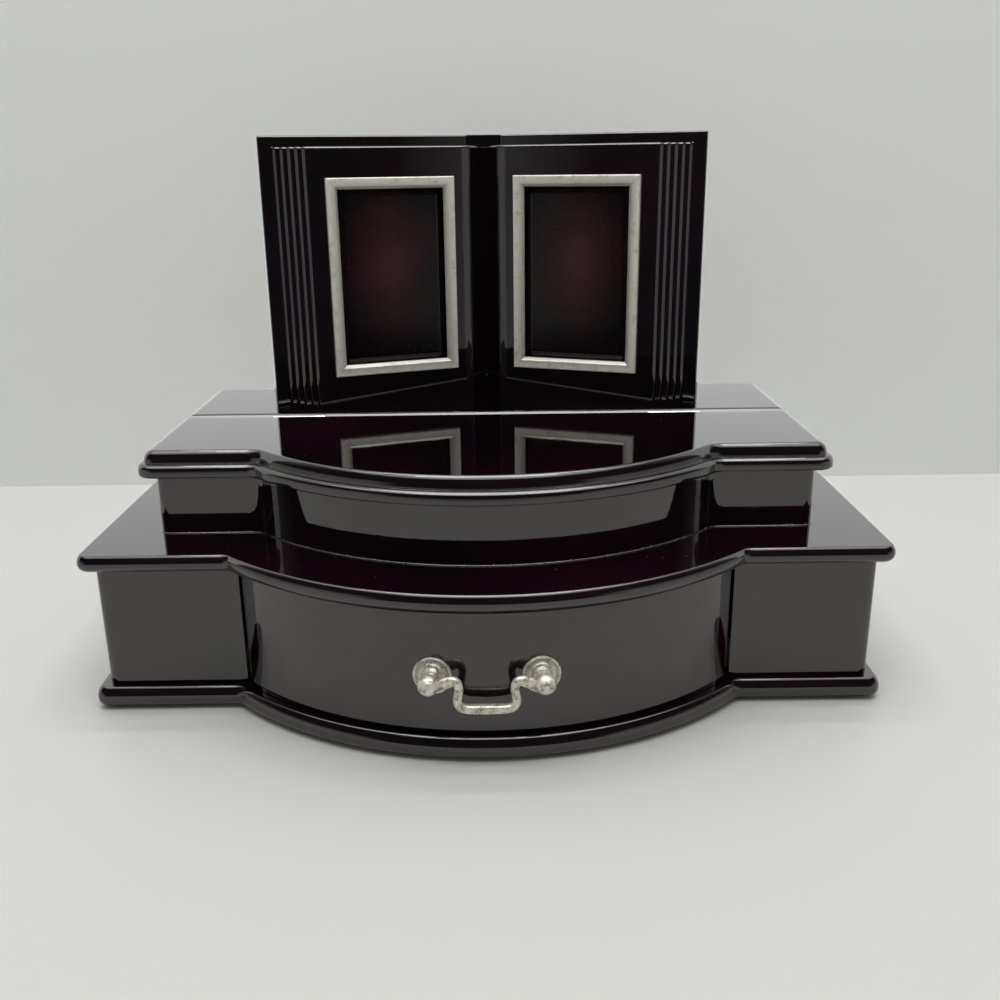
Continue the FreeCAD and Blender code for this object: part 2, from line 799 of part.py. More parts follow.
def bent_wire(points, bends, radius):
    # A round wire along straight runs that are joined by tangent arcs.
    edges = []
    start = points[0]
    for before, corner, after, bend in zip(points, points[1:], points[2:], bends):
        inward = (before - corner).normalize()
        onward = (after - corner).normalize()
        half = inward.getAngle(onward) / 2
        reach = bend / math.tan(half)
        middle = (inward + onward).normalize() * (bend / math.sin(half) - bend)
        enter = corner + inward * reach
        leave = corner + onward * reach
        edges.append(Part.LineSegment(start, enter).toShape())
        edges.append(Part.Arc(enter, corner + middle, leave).toShape())
        start = leave
    edges.append(Part.LineSegment(start, points[-1]).toShape())
    path = Part.Wire(edges)
    section = Part.Wire([Part.Circle(points[0], points[1] - points[0], radius).toShape()])
    return path.makePipeShell([section], True, False)


# The bail: a pin in each ball, a neck that climbs over to its leg, and a straight grip bar.
drop = number("bail_drop")
wire = number("bail_wire_radius")
pin_start = number("pivot_x - ball_radius / 2")
neck_start = number("pivot_x - ball_radius - bail_shoulder")
leg = neck_start - number("bail_neck_run")
sway = number("bail_leg_sway")
half_bail = [
    Vector(neck_start, 0, 0),
    Vector((neck_start + leg) / 2, 0, number("bail_neck_rise")),
    Vector(leg - sway, 0, -number("bail_knee_drop")),
    Vector(leg + sway, 0, number("bail_belly_rise") - drop),
    Vector(leg - number("bail_corner_inset"), 0, -drop),
]
bail_points = half_bail + [Vector(-point.x, 0, point.z) for point in reversed(half_bail)]
bend = number("bail_bend_radius")
bail_bends = [bend, bend, bend, number("bail_grip_bend_radius")]
bail_shape = bent_wire(bail_points, bail_bends + bail_bends[::-1], wire)
for sign in (-1, 1):
    pin_length = pin_start - neck_start + wire
    pin = Part.makeCylinder(
        number("bail_pin_radius"), pin_length, Vector(sign * (neck_start - wire), 0, 0),
        Vector(sign, 0, 0))
    bail_shape = bail_shape.fuse(pin)
handle_bail = doc.addObject("Part::Feature", "handle_bail")
handle_bail.Shape = bail_shape
place(handle_bail, "0", "pivot_y", "pull_height")
piece("handle_bail", handle_bail)

# Upper box: a bowed front wall, sides, back, and the partition under the seam of the top.
upper_rise = ("deck_top", "lid_bottom")


def upper_outline(inset, rear, corner):
    return bow_outline(
        f"upper_half - ({inset})", f"upper_front + {inset}", f"upper_apex + {inset}",
        f"upper_bow_radius - ({inset})", f"upper_cove_radius + {inset}", rear, corner)


inner_corner = "upper_wall / 2"
front_blank = prism(
    "upper_front_blank", upper_outline("0", "upper_front + upper_wall", "upper_corner_radius"),
    *upper_rise)
front_hollow = prism(
    "upper_front_hollow",
    upper_outline("upper_wall", "upper_front + 2 * upper_wall", inner_corner), *upper_rise)
piece("upper_front_wall", cut("upper_front_wall", front_blank, front_hollow))
upper_side_square = block(
    "upper_side_square", ("upper_inner_half", "upper_half"),
    ("upper_front + upper_wall", "carcass_rear"), upper_rise)
upper_side = rounded(
    "upper_right_side", upper_side_square, "upper_corner_radius",
    upright_at("upper_half", "carcass_rear"))
piece("upper_right_side", upper_side)
piece("upper_left_side", mirrored("upper_left_side", upper_side))
inside = ("-upper_inner_half", "upper_inner_half")
piece("upper_back_wall", block(
    "upper_back_wall", inside, ("carcass_rear - upper_wall", "carcass_rear"), upper_rise))
partition_blank = block(
    "partition_blank", inside, ("partition_front", "partition_rear"), upper_rise)
wire_slot = block(
    "wire_slot",
    ("fan_x - wire_radius - wire_clearance", "fan_x + wire_radius + wire_clearance"),
    ("partition_front", "partition_rear"),
    ("wire_jog - wire_radius - wire_clearance",
     "wire_jog + wire_radius + wire_clearance + wire_travel"))
piece("upper_partition", cut("upper_partition", partition_blank, wire_slot))

# Tray: lining, two dividers that follow the bow, and ring rolls between them.
def tray_slab(name, low, high):
    return prism(name, upper_outline(
        "upper_wall + tray_lining_clearance", "partition_front - tray_lining_clearance",
        "tray_lining_corner"), low, high)


piece("tray_lining", tray_slab("tray_lining", "deck_top", "tray_floor"))
divider_top = "tray_floor + divider_height"
tray_space = tray_slab("tray_space", "tray_floor", divider_top)
divider_inner = "divider_place - divider_thickness / 2"
divider_blank = block(
    "divider_blank", (divider_inner, "divider_place + divider_thickness / 2"),
    ("upper_apex", "partition_front"), ("tray_floor", divider_top))
divider = common("right_divider", divider_blank, tray_space)
piece("tray_dividers", group("tray_dividers", divider, mirrored("left_divider", divider)))

bow_inside = "(upper_bow_radius - upper_wall)"
bow_front = f"(upper_apex + upper_bow_radius - sqrt({bow_inside}^2 - divider_place^2))"
ring_room = number(f"partition_front - {bow_front} - ring_front_margin")
ring_rolls = int(ring_room / number("ring_roll_pitch"))
rolls = []
roll_half = f"{divider_inner} - ring_roll_clearance"
for index in range(ring_rolls):
    roll_y = f"partition_front - ring_roll_clearance - ring_roll_radius - {index} * ring_roll_pitch"
    roll = rod(
        f"ring_roll_{index}", "x", "ring_roll_radius",
        (f"-({roll_half})", roll_y, "tray_floor + ring_roll_radius - ring_roll_sink"),
        f"2 * ({roll_half})")
    roll_room = block(
        f"ring_roll_room_{index}", (f"-({roll_half})", roll_half),
        (f"{roll_y} - ring_roll_radius", f"{roll_y} + ring_roll_radius"),
        ("tray_floor", "tray_floor + 2 * ring_roll_radius"))
    rolls.append(common(f"ring_roll_cut_{index}", roll, roll_room))
piece("ring_rolls", group("ring_rolls", *rolls))


# Lid and rear top board: a square step below and a quarter round above, cut by the seam.
def off_seam(edge_rule, seam):
    # Leaves out the edges that lie on the seam.
    def chosen(edge):
        box = edge.BoundBox
        on_seam = near(box.YMin, number(seam)) and near(box.YMax, number(seam))
        return edge_rule(edge) and not on_seam
    return chosen


def stepped(name, lower_outline, upper_outline_corners, seam):
    step = prism(name + "_step", lower_outline, "lid_bottom", "lid_step_top")
    step_eased = rounded(
        name + "_step_eased", step, f"min(lid_step_edge; lid_step_height * {both_edges_share})",
        off_seam(level("lid_bottom", "lid_step_top"), seam))
    top = prism(name + "_top", upper_outline_corners, "lid_step_top", "lid_top")
    top_eased = rounded(
        name + "_top_eased", top, f"min(lid_ovolo_radius; lid_top_height * {one_edge_share})",
        off_seam(level("lid_top"), seam))
    return fuse(name + "_profile", step_eased, top_eased)


def seam_round(name, toward):
    # What comes off the top edge of a board at the seam, so that it is rounded there.
    edge = "lid_rear" if toward == "front" else "rear_top_front"
    axis = f"{edge} - seam_edge_radius" if toward == "front" else f"{edge} + seam_edge_radius"
    span = (axis, edge) if toward == "front" else (edge, axis)
    corner = block(
        name + "_corner", ("-top_half", "top_half"), span, ("lid_top - seam_edge_radius", "lid_top"))
    core = rod(
        name + "_core", "x", "seam_edge_radius", ("-top_half", axis, "lid_top - seam_edge_radius"),
        "2 * top_half")
    return cut(name, corner, core)


def lid_outline(inset, rear):
    return bow_outline(
        f"top_half - ({inset})", f"lid_front + {inset}", f"lid_apex + {inset}",
        f"lid_bow_radius - ({inset})", f"lid_cove_radius + {inset}", rear,
        f"lid_corner_radius - ({inset})")


def rear_outline(inset):
    return plate_outline(
        f"top_half - ({inset})", "rear_top_front", f"top_rear - ({inset})",
        rear_corner=f"lid_corner_radius - ({inset})")


lid_profile = stepped(
    "lid", lid_outline("0", "lid_rear"), lid_outline("lid_step_ledge", "lid_rear"), "lid_rear")
rear_profile = stepped(
    "rear_top", rear_outline("0"), rear_outline("lid_step_ledge"), "rear_top_front")

# Hinges: two small butts let into the seam, their axis just under the top of the boards.
hinge_start = "(hinge_spacing - hinge_length) / 2"
axis_at = ("seam_place", "hinge_height")
screw_height = "hinge_height - hinge_screw_drop"


def knuckle(name, start, length, radius="knuckle_radius"):
    return rod(name, "x", radius, (f"{hinge_start} + {start}", *axis_at), length)


def leaf_span(toward):
    near_face = "seam_place - leaf_gap / 2" if toward == "front" else "seam_place + leaf_gap / 2"
    if toward == "front":
        return (f"{near_face} - leaf_thickness", near_face)
    return (near_face, f"{near_face} + leaf_thickness")


def hinge_screw(name, toward, sign, radius, head, length):
    # A screw through a leaf: sign picks the near or far one of the pair.
    screw = turned(name, [
        ("0", "0", None), (head, "0", None), (head, "leaf_thickness", None),
        (radius, "leaf_thickness", None), (radius, length, None), ("0", length, None),
    ])
    if toward == "front":
        screw.Placement.Rotation = Rotation(Vector(0, 0, 1), 180)
    face = "seam_place - leaf_gap / 2" if toward == "front" else "seam_place + leaf_gap / 2"
    return place(screw, f"(hinge_spacing {sign} hinge_screw_spacing) / 2", face, screw_height)


middle_length = "hinge_length - 2 * knuckle_length"
loose = "knuckle_radius + knuckle_gap"
pin_bore = knuckle("hinge_pin_bore", "0", "hinge_length", "hinge_pin_radius + hinge_fit")
screws = {}
screw_bores = {}
leaves = {}
for toward in ("rear", "front"):
    y_span = leaf_span(toward)
    screws[toward] = [
        hinge_screw(
            f"{toward}_hinge_screw_{index}", toward, sign, "hinge_screw_radius",
            "hinge_screw_head_radius", "hinge_screw_length")
        for index, sign in enumerate("-+")
    ]
    screw_bores[toward] = [
        hinge_screw(
            f"{toward}_hinge_bore_{index}", toward, sign, "hinge_screw_radius + screw_clearance",
            "hinge_screw_head_radius + screw_clearance", "hinge_screw_length + screw_clearance")
        for index, sign in enumerate("-+")
    ]
    plate = block(
        toward + "_leaf_plate", (hinge_start, f"{hinge_start} + hinge_length"), y_span,
        ("hinge_height - leaf_height", "hinge_height"))
    if toward == "rear":
        relief = knuckle("rear_relief", "knuckle_length", middle_length, loose)
        trimmed = cut("rear_leaf_trimmed", plate, relief)
        barrel = [
            knuckle("fixed_knuckle_near", "0", "knuckle_length"),
            knuckle("fixed_knuckle_far", "hinge_length - knuckle_length", "knuckle_length"),
        ]
    else:
        side_length = "knuckle_length + knuckle_gap"
        trimmed = cut(
            "front_leaf_trimmed", plate, knuckle("front_relief_near", "0", side_length, loose),
            knuckle(
                "front_relief_far", "hinge_length - knuckle_length - knuckle_gap", side_length,
                loose))
        barrel = [knuckle(
            "lid_knuckle", "knuckle_length + knuckle_gap", f"{middle_length} - 2 * knuckle_gap")]
    whole = fuse(toward + "_leaf_whole", trimmed, *barrel)
    leaves[toward] = cut(toward + "_leaf", whole, pin_bore, *screw_bores[toward])


def pair(name, *shapes):
    # The right-hand pieces and their mirror images, in one node.
    images = [mirrored(f"{shape.Name}_image", shape) for shape in shapes]
    return piece(name, group(name, *shapes, *images))


pair("hinge_fixed_leaves", leaves["rear"])
pair("hinge_lid_leaves", leaves["front"])
pair("hinge_fixed_screws", *screws["rear"])
pair("hinge_lid_screws", *screws["front"])
pair("hinge_pins", knuckle("hinge_pin", "0", "hinge_length", "hinge_pin_radius"))


def hinge_pockets(toward):
    # What a board loses to both hinges.
    room = "hinge_pocket_clearance"
    knuckle_room = knuckle(
        toward + "_knuckle_room", f"0 - {room}", f"hinge_length + 2 * {room}",
        f"knuckle_radius + {room}")
    mortise = block(
        toward + "_mortise",
        (f"{hinge_start} - {room}", f"{hinge_start} + hinge_length + {room}"), leaf_span(toward),
        (f"hinge_height - leaf_height - {room}", "hinge_height"))
    tools = [knuckle_room, mortise, *screw_bores[toward]]
    return tools + [mirrored(f"{tool.Name}_far_{toward}", tool) for tool in tools]


piece("lid_board", cut(
    "lid_board", lid_profile, seam_round("lid_seam_round", "front"), *hinge_pockets("front")))
lining_rear = "partition_front - lid_lining_inset"
lining_inset = "upper_wall + lid_lining_inset"
lining_low = "lid_bottom - lid_lining_thickness"
piece("lid_lining", prism(
    "lid_lining", upper_outline(lining_inset, lining_rear, "lid_lining_inset"), lining_low,
    "lid_bottom"))
mirror_rear = f"{lining_rear} - mirror_margin"
piece("lid_mirror", block(
    "lid_mirror", ("-mirror_width / 2", "mirror_width / 2"),
    (f"{mirror_rear} - mirror_depth", mirror_rear),
    (f"{lining_low} - mirror_thickness", lining_low)))


# Open book: the right leaf is drawn flat, with its length along X and its pages towards -Y,
# then turned about the spine. The left leaf is its mirror image.
def on_leaf(shape_object, low="0"):
    shape_object.Placement.Rotation = Rotation(Vector(0, 0, 1), 0)
    shape_object.setExpression("Placement.Rotation.Angle", bind("-leaf_angle * 1 deg"))
    return place(shape_object, "0", "book_centre", low)


def both_leaves(name, right):
    piece("book_right_" + name, right)
    piece("book_left_" + name, mirrored("book_left_" + name, right))


cover_square = block(
    "cover_square", ("spine_reach", "spine_reach + cover_width"), ("0", "cover_thickness"),
    ("0", "book_height"))
cover = rounded("book_right_cover", cover_square, "cover_edge_radius", lambda edge: True)
both_leaves("cover", on_leaf(cover, "lid_top"))
spine_half = "spine_width / 2"
spine_rear_half = "spine_width / 2 + cover_thickness * sin(leaf_angle)"
spine_rear = "spine_front + cover_thickness * cos(leaf_angle)"
piece("book_spine", prism("book_spine", [
    (f"-({spine_half})", "spine_front", None),
    (spine_half, "spine_front", None),
    (spine_rear_half, spine_rear, None),
    (f"-({spine_rear_half})", spine_rear, None),
], "lid_top", "lid_top + book_height"))

riser = f"page_thickness / {page_steps}"
gutter_radius = "(gutter_width^2 + gutter_drop^2) / (2 * gutter_drop)"
page_corners = [
    ("0", "gutter_drop - page_thickness", ("left", gutter_radius)),
    ("gutter_width", "-page_thickness", None),
]
for index in reversed(range(page_steps)):
    step_place = f"page_reach - {index} * page_step_pitch"
    page_corners += [
        (step_place, f"-{index + 1} * {riser}", None),
        (step_place, f"-{index} * {riser}", None),
    ]
page_corners += [("0", "0", None)]
page_slab = prism("page_slab", page_corners, "0", "page_height")


def step_edge(edge):
    # Picks the outer edge of each step.
    box = edge.BoundBox
    for index in range(page_steps):
        x = number(f"page_reach - {index} * page_step_pitch")
        y = number(f"-{index + 1} * {riser}")
        if near(box.XMin, x) and near(box.XMax, x) and near(box.YMin, y) and near(box.YMax, y):
            return True
    return False


def page_top_edge(edge):
    # Picks the edges round the top of a page block, but not those against the cover and the spine.
    box = edge.BoundBox
    on_top = near(box.ZMin, number("page_height")) and near(box.ZMax, number("page_height"))
    at_cover = near(box.YMin, 0) and near(box.YMax, 0)
    at_spine = near(box.XMin, 0) and near(box.XMax, 0)
    return on_top and not at_cover and not at_spine


page_stepped = rounded("page_stepped", page_slab, "page_step_round", step_edge)
page_eased = rounded("page_eased", page_stepped, "page_top_round", page_top_edge)
window_start = "frame_place + frame_bar"
window_end = "frame_place + frame_width - frame_bar"
window_low = "frame_rise + frame_bar"
window_high = "frame_rise + frame_height - frame_bar"
recess = block(
    "picture_recess_room", (window_start, window_end),
    ("-page_thickness", "picture_recess - page_thickness"), (window_low, window_high))
page_flat = on_leaf(cut("page_flat", page_eased, recess), "lid_top")

book_screws = []
book_bores = []
for index in range(2):
    screw_x = f"book_screw_place + {index} * book_screw_spacing"
    axis = (screw_x, "-page_thickness / 2")
    head = rod(
        f"book_screw_head_{index}", "z", "book_screw_head_radius",
        (*axis, "lid_bottom - book_screw_head_height"), "book_screw_head_height")
    shank = rod(
        f"book_screw_shank_{index}", "z", "book_screw_radius", (*axis, "lid_bottom"),
        "book_screw_length")
    book_screws.append(on_leaf(fuse(f"book_screw_{index}", head, shank)))
    bore = rod(
        f"book_bore_{index}", "z", "book_screw_radius + screw_clearance", (*axis, "lid_bottom"),
        "book_screw_length + screw_clearance")
    book_bores.append(on_leaf(group(f"book_bore_turned_{index}", bore)))
pair("book_screws", *book_screws)

# The page blocks stop short of each other in the gutter and rest against the spine.
gutter_room = block(
    "gutter_room", ("-page_thickness", "gutter_gap / 2"),
    ("book_centre - 3 * page_thickness", "book_centre + page_thickness"),
    ("lid_top", "lid_top + book_height"))
spine_room = block(
    "spine_room", ("-page_thickness", spine_half),
    ("spine_front", "book_centre + page_thickness"), ("lid_top", "lid_top + book_height"))
both_leaves("pages", cut("book_right_pages", page_flat, gutter_room, spine_room, *book_bores))

frame_front = "-page_thickness - frame_thickness"
frame_blank = block(
    "frame_blank", ("frame_place", "frame_place + frame_width"), (frame_front, "-page_thickness"),
    ("frame_rise", "frame_rise + frame_height"))
frame_window = block(
    "frame_window", (window_start, window_end), (frame_front, "-page_thickness"),
    (window_low, window_high))
frame_square = cut("frame_square", frame_blank, frame_window)


def on_frame_front(edge):
    box = edge.BoundBox
    return near(box.YMin, number(frame_front)) and near(box.YMax, number(frame_front))


def outer_edge(edge):
    box = edge.BoundBox
    return on_frame_front(edge) and (
        near(box.XMax, number("frame_place")) or near(box.ZMax, number("frame_rise"))
        or near(box.XMin, number("frame_place + frame_width"))
        or near(box.ZMin, number("frame_rise + frame_height")))


doc.recompute()
bevel = number("frame_bevel")
frame_bevelled = doc.addObject("Part::Chamfer", "frame_bevelled")
frame_bevelled.Base = frame_square
frame_bevelled.Edges = [
    (index, bevel, bevel)
    for index, edge in enumerate(frame_square.Shape.Edges, 1)
    if on_frame_front(edge) and not outer_edge(edge)
]
frame_eased = rounded("right_picture_frame", frame_bevelled, "frame_edge_radius", outer_edge)
piece("right_picture_frame", on_leaf(frame_eased, "lid_top"))
piece("left_picture_frame", mirrored("left_picture_frame", frame_eased))

piece("rear_top_board", cut(
    "rear_top_board", rear_profile, seam_round("rear_seam_round", "rear"),
    *hinge_pockets("rear"), *book_bores,
    *[mirrored(f"{bore.Name}_image", bore) for bore in book_bores]))

# Musical movement: a bedplate on the back wall carries the spring barrel, the pinned cylinder
# with its comb, and the governor.
bed_blank = block(
    "bed_blank", ("bed_left", "bed_right"), ("bed_front", "wall_inside"), ("bed_low", "bed_high"))
bearing_front = "cylinder_y - bearing_margin"
near_bearing_block = block(
    "near_bearing_block", ("near_bearing", "near_bearing + bearing_thickness"),
    (bearing_front, "bed_front"),
    ("movement_height - bearing_margin", "movement_height + bearing_margin"))
fan_low = "fan_z - fan_radius - side_clearance"
far_span = ("far_bearing", "far_bearing + bearing_thickness")
far_bearing_block = block(
    "far_bearing_block", far_span, (bearing_front, "bed_front"),
    ("movement_height - bearing_margin", fan_low))
tab_rear = "cylinder_y - worm_length / 2 - side_clearance"
tab_front = f"{tab_rear} - bearing_thickness"
far_bearing_arm = block(
    "far_bearing_arm", far_span, (tab_front, "fan_rear - fan_width - side_clearance"),
    (fan_low, "fan_z + bearing_margin"))
fan_tab = block(
    "fan_tab", ("far_bearing", "fan_x + bearing_margin"), (tab_front, tab_rear),
    ("fan_z - worm_radius - running_clearance", "fan_z + bearing_margin"))
comb_low = "comb_tip - comb_depth"
comb_root = "comb_tip - comb_tooth_length"
comb_stand = block(
    "comb_stand", ("cylinder_start", "cylinder_end"), ("comb_rear", "bed_front"),
    (comb_low, comb_root))
bed_body = fuse(
    "bed_body", bed_blank, near_bearing_block, far_bearing_block, far_bearing_arm, fan_tab,
    comb_stand)
shaft_run = "movement_shaft_radius + running_clearance"
cylinder_bore = rod(
    "cylinder_bore", "x", shaft_run, ("near_bearing", "cylinder_y", "movement_height"),
    "wheel_start - near_bearing")
governor_bore = rod(
    "governor_bore", "x", shaft_run, ("far_bearing", "cylinder_y", "governor_z"),
    "bearing_thickness")
fan_bore = rod(
    "fan_bore", "y", "fan_shaft_radius + running_clearance", ("fan_x", tab_front, "fan_z"),
    f"wall_inside - ({tab_front})")
arbor_bore = rod(
    "arbor_bore", "y", "arbor_radius + running_clearance",
    ("movement_place", "bed_front", "movement_height"), "bedplate_thickness")
comb_middle = f"({comb_low} + {comb_root}) / 2"
comb_screws = []
comb_bores = []
for end in ("cylinder_start + comb_screw_inset", "cylinder_end - comb_screw_inset"):
    label = end.split()[0]
    head = rod(
        label + "_comb_head", "y", "comb_screw_head_radius",
        (end, "comb_front - comb_screw_head_height", comb_middle), "comb_screw_head_height")
    shank = rod(
        label + "_comb_shank", "y", "comb_screw_radius", (end, "comb_front", comb_middle),
        "comb_screw_length")
    comb_screws.append(fuse(label + "_comb_screw", head, shank))
    comb_bores.append(rod(
        label + "_comb_bore", "y", "comb_screw_radius + screw_clearance",
        (end, "comb_front", comb_middle), "comb_screw_length + screw_clearance"))
piece("comb_screws", group("comb_screws", *comb_screws))

movement_screws = []
movement_bores = []
for x in ("bed_left + movement_screw_inset", "bed_right - movement_screw_inset"):
    for z in ("bed_low + movement_screw_inset", "bed_high - movement_screw_inset"):
        label = f"{x.split()[0]}_{z.split()[0]}"
        head = rod(
            label + "_head", "y", "movement_screw_head_radius",
            (x, "bed_front - movement_screw_head_height", z), "movement_screw_head_height")
        shank = rod(
            label + "_shank", "y", "movement_screw_radius", (x, "bed_front", z),
            "movement_screw_length")
        movement_screws.append(fuse(label + "_screw", head, shank))
        movement_bores.append(rod(
            label + "_bore", "y", "movement_screw_radius + screw_clearance", (x, "bed_front", z),
            "movement_screw_length + screw_clearance"))
piece("movement_screws", group("movement_screws", *movement_screws))
piece("movement_bedplate", cut(
    "movement_bedplate", bed_body, cylinder_bore, governor_bore, fan_bore, arbor_bore,
    *comb_bores, *movement_bores))
piece("base_back_wall", cut("base_back_wall", back_blank, key_hole, *movement_bores))

comb_blank = block(
    "comb_blank", ("cylinder_start", "cylinder_end"), ("comb_front", "comb_rear"),
    (comb_low, "comb_tip"))
tooth_pitch = f"cylinder_length / {comb_teeth}"
comb_slots = []
for index in range(1, comb_teeth):
    slot_x = f"cylinder_start + {index} * {tooth_pitch}"
    comb_slots.append(block(
        f"comb_slot_{index}", (f"{slot_x} - comb_slot / 2", f"{slot_x} + comb_slot / 2"),
        ("comb_front", "comb_rear"), (comb_root, "comb_tip")))
piece("comb", cut("comb", comb_blank, *comb_slots, *comb_bores))


def solid(name, shape):
    # A piece whose shape is worked out below, in its own place.
    feature = doc.addObject("Part::Feature", name)
    feature.Shape = shape.removeSplitter()
    return feature


def toothed(radius, teeth, start, width):
    # A toothed disc across the X axis.
    root = radius - number("tooth_depth")
    points = []
    for index in range(teeth):
        # The corners of a tooth, as shares of its pitch.
        for share, reach in ((0.0, root), (0.4, root), (0.55, radius), (0.85, radius)):
            angle = 2 * math.pi * (index + share) / teeth
            points.append(Vector(start, reach * math.cos(angle), reach * math.sin(angle)))
    outline = Part.Face(Part.makePolygon(points + points[:1]))
    return outline.extrude(Vector(width, 0, 0))


east = Vector(1, 0, 0)
north = Vector(0, 1, 0)

# Spring barrel, about Y, with crown teeth on its front face.
barrel_radius = number("barrel_radius")
crown_outer = barrel_radius - number("crown_inset")
crown_inner = crown_outer - number("crown_width")
crown_height = number("crown_height")
barrel_top = number("barrel_front - bed_front")
barrel_shape = Part.makeCylinder(
    barrel_radius, number("barrel_height"), Vector(0, barrel_top, 0), north)
crown = Part.makeCylinder(crown_outer, crown_height, Vector(0, barrel_top - crown_height, 0), north)
crown = crown.cut(
    Part.makeCylinder(crown_inner, crown_height, Vector(0, barrel_top - crown_height, 0), north))
gap_width = math.pi * crown_inner / crown_teeth
gaps = []
for index in range(crown_teeth):
    gap = Part.makeBox(
        barrel_radius, number("tooth_depth"), gap_width,
        Vector(0, barrel_top - crown_height, -gap_width / 2))
    gaps.append(gap.rotate(Vector(), north, 360 * index / crown_teeth))
barrel_shape = barrel_shape.fuse(crown.cut(gaps)).cut(Part.makeCylinder(
    number("arbor_radius + running_clearance"), number("barrel_height"),
    Vector(0, barrel_top, 0), north))
spring_barrel = solid("spring_barrel", barrel_shape)
piece("spring_barrel", place(spring_barrel, "movement_place", "bed_front", "movement_height"))

# Winding arbor and key, about Y, through the back wall.
cap_rear = "barrel_front - bed_front - running_clearance"
stem_start = "carcass_rear + key_gap - bed_front"
arbor_end = f"{stem_start} + key_bore_depth"
arbor = turned("winding_arbor", [
    ("0", f"{cap_rear} - arbor_cap_height", None),
    ("arbor_cap_radius", f"{cap_rear} - arbor_cap_height", None),
    ("arbor_cap_radius", cap_rear, None),
    ("arbor_radius", cap_rear, None),
    ("arbor_radius", arbor_end, None),
    ("0", arbor_end, None),
])
piece("winding_arbor", place(arbor, "movement_place", "bed_front", "movement_height"))
key_start = "carcass_rear + key_gap"
key_stem = rod(
    "key_stem", "y", "key_stem_radius", ("movement_place", key_start, "movement_height"),
    "key_stem_length")
lobe_y = f"{key_start} + key_stem_length + key_lobe_lift"
key_low = "movement_height - key_thickness / 2"
lobes = []
lobe_holes = []
for side, sign in (("left", "-"), ("right", "+")):
    lobe_x = f"movement_place {sign} key_lobe_spread"
    lobes.append(rod(
        side + "_lobe", "z", "key_lobe_radius", (lobe_x, lobe_y, key_low), "key_thickness"))
    lobe_holes.append(rod(
        side + "_lobe_hole", "z", "key_lobe_hole", (lobe_x, lobe_y, key_low), "key_thickness"))
key_bore = rod(
    "key_bore", "y", "arbor_radius + running_clearance",
    ("movement_place", key_start, "movement_height"),
    "key_bore_depth + running_clearance")
piece("winding_key", cut(
    "winding_key", fuse("key_blank", key_stem, *lobes), key_bore, *lobe_holes))

# Pinned cylinder, about X, with the crown pinion at one end and a spur gear at the other.
gear_width = number("gear_width")
shaft_radius = number("movement_shaft_radius")
cylinder_radius = number("cylinder_radius")
cylinder_length = number("cylinder_length")
pinion_start = number("movement_place + barrel_radius - crown_inset - crown_width - cylinder_start")
shaft_end = number("far_bearing + bearing_thickness - cylinder_start")
cylinder_shape = Part.makeCylinder(cylinder_radius, cylinder_length, Vector(), east)
cylinder_parts = [
    toothed(number("cylinder_gear_radius"), cylinder_gear_teeth, cylinder_length, gear_width),
    toothed(number("pinion_radius"), pinion_teeth, pinion_start, number("crown_width")),
    Part.makeCylinder(shaft_radius, shaft_end - pinion_start, Vector(pinion_start, 0, 0), east),
]
pin_radius = number("cylinder_pin_radius")
pin_reach = cylinder_radius + number("cylinder_pin_height")
golden_turn = 137.5
for index in range(comb_teeth * pins_per_tooth):
    along_cylinder = (index % comb_teeth + 0.5) * cylinder_length / comb_teeth
    pin = Part.makeCylinder(
        pin_radius, pin_reach - cylinder_radius / 2,
        Vector(along_cylinder, 0, cylinder_radius / 2), Vector(0, 0, 1))
    cylinder_parts.append(pin.rotate(Vector(), east, golden_turn * index))
music_cylinder = solid("music_cylinder", cylinder_shape.fuse(cylinder_parts))
piece("music_cylinder", place(
    music_cylinder, "cylinder_start", "cylinder_y", "movement_height"))

# Governor: a pinion and worm wheel about X, and the worm with its two-bladed fan about Y.
wheel_start = number("wheel_start - cylinder_end")
governor_shape = Part.makeCylinder(shaft_radius, wheel_start + gear_width, Vector(), east).fuse([
    toothed(number("governor_pinion_radius"), governor_pinion_teeth, 0, gear_width),
    toothed(number("governor_wheel_radius"), governor_wheel_teeth, wheel_start, gear_width),
])
governor_gear = solid("governor_gear", governor_shape)
piece("governor_gear", place(governor_gear, "cylinder_end", "cylinder_y", "governor_z"))

fan_shaft = rod(
    "fan_shaft", "y", "fan_shaft_radius", ("fan_x", tab_front, "fan_z"),
    f"wall_inside - ({tab_front})")
worm_rings = []
for index in range(worm_turns):
    ring_y = f"cylinder_y - worm_length / 2 + {index} * worm_length / {worm_turns - 0.5}"
    worm_rings.append(rod(
        f"worm_ring_{index}", "y", "worm_radius", ("fan_x", ring_y, "fan_z"),
        f"worm_length / {2 * worm_turns - 1}"))
worm_core = rod(
    "worm_core", "y", "(worm_radius + fan_shaft_radius) / 2",
    ("fan_x", "cylinder_y - worm_length / 2", "fan_z"), "worm_length")
blades = block(
    "fan_blades", ("fan_x - fan_radius", "fan_x + fan_radius"),
    ("fan_rear - fan_width", "fan_rear"),
    ("fan_z - fan_blade / 2", "fan_z + fan_blade / 2"))
hub = rod(
    "fan_hub", "y", "fan_hub_radius", ("fan_x", "fan_rear - fan_width", "fan_z"), "fan_width")
piece("governor_fan", fuse("governor_fan", fan_shaft, worm_core, *worm_rings, blades, hub))

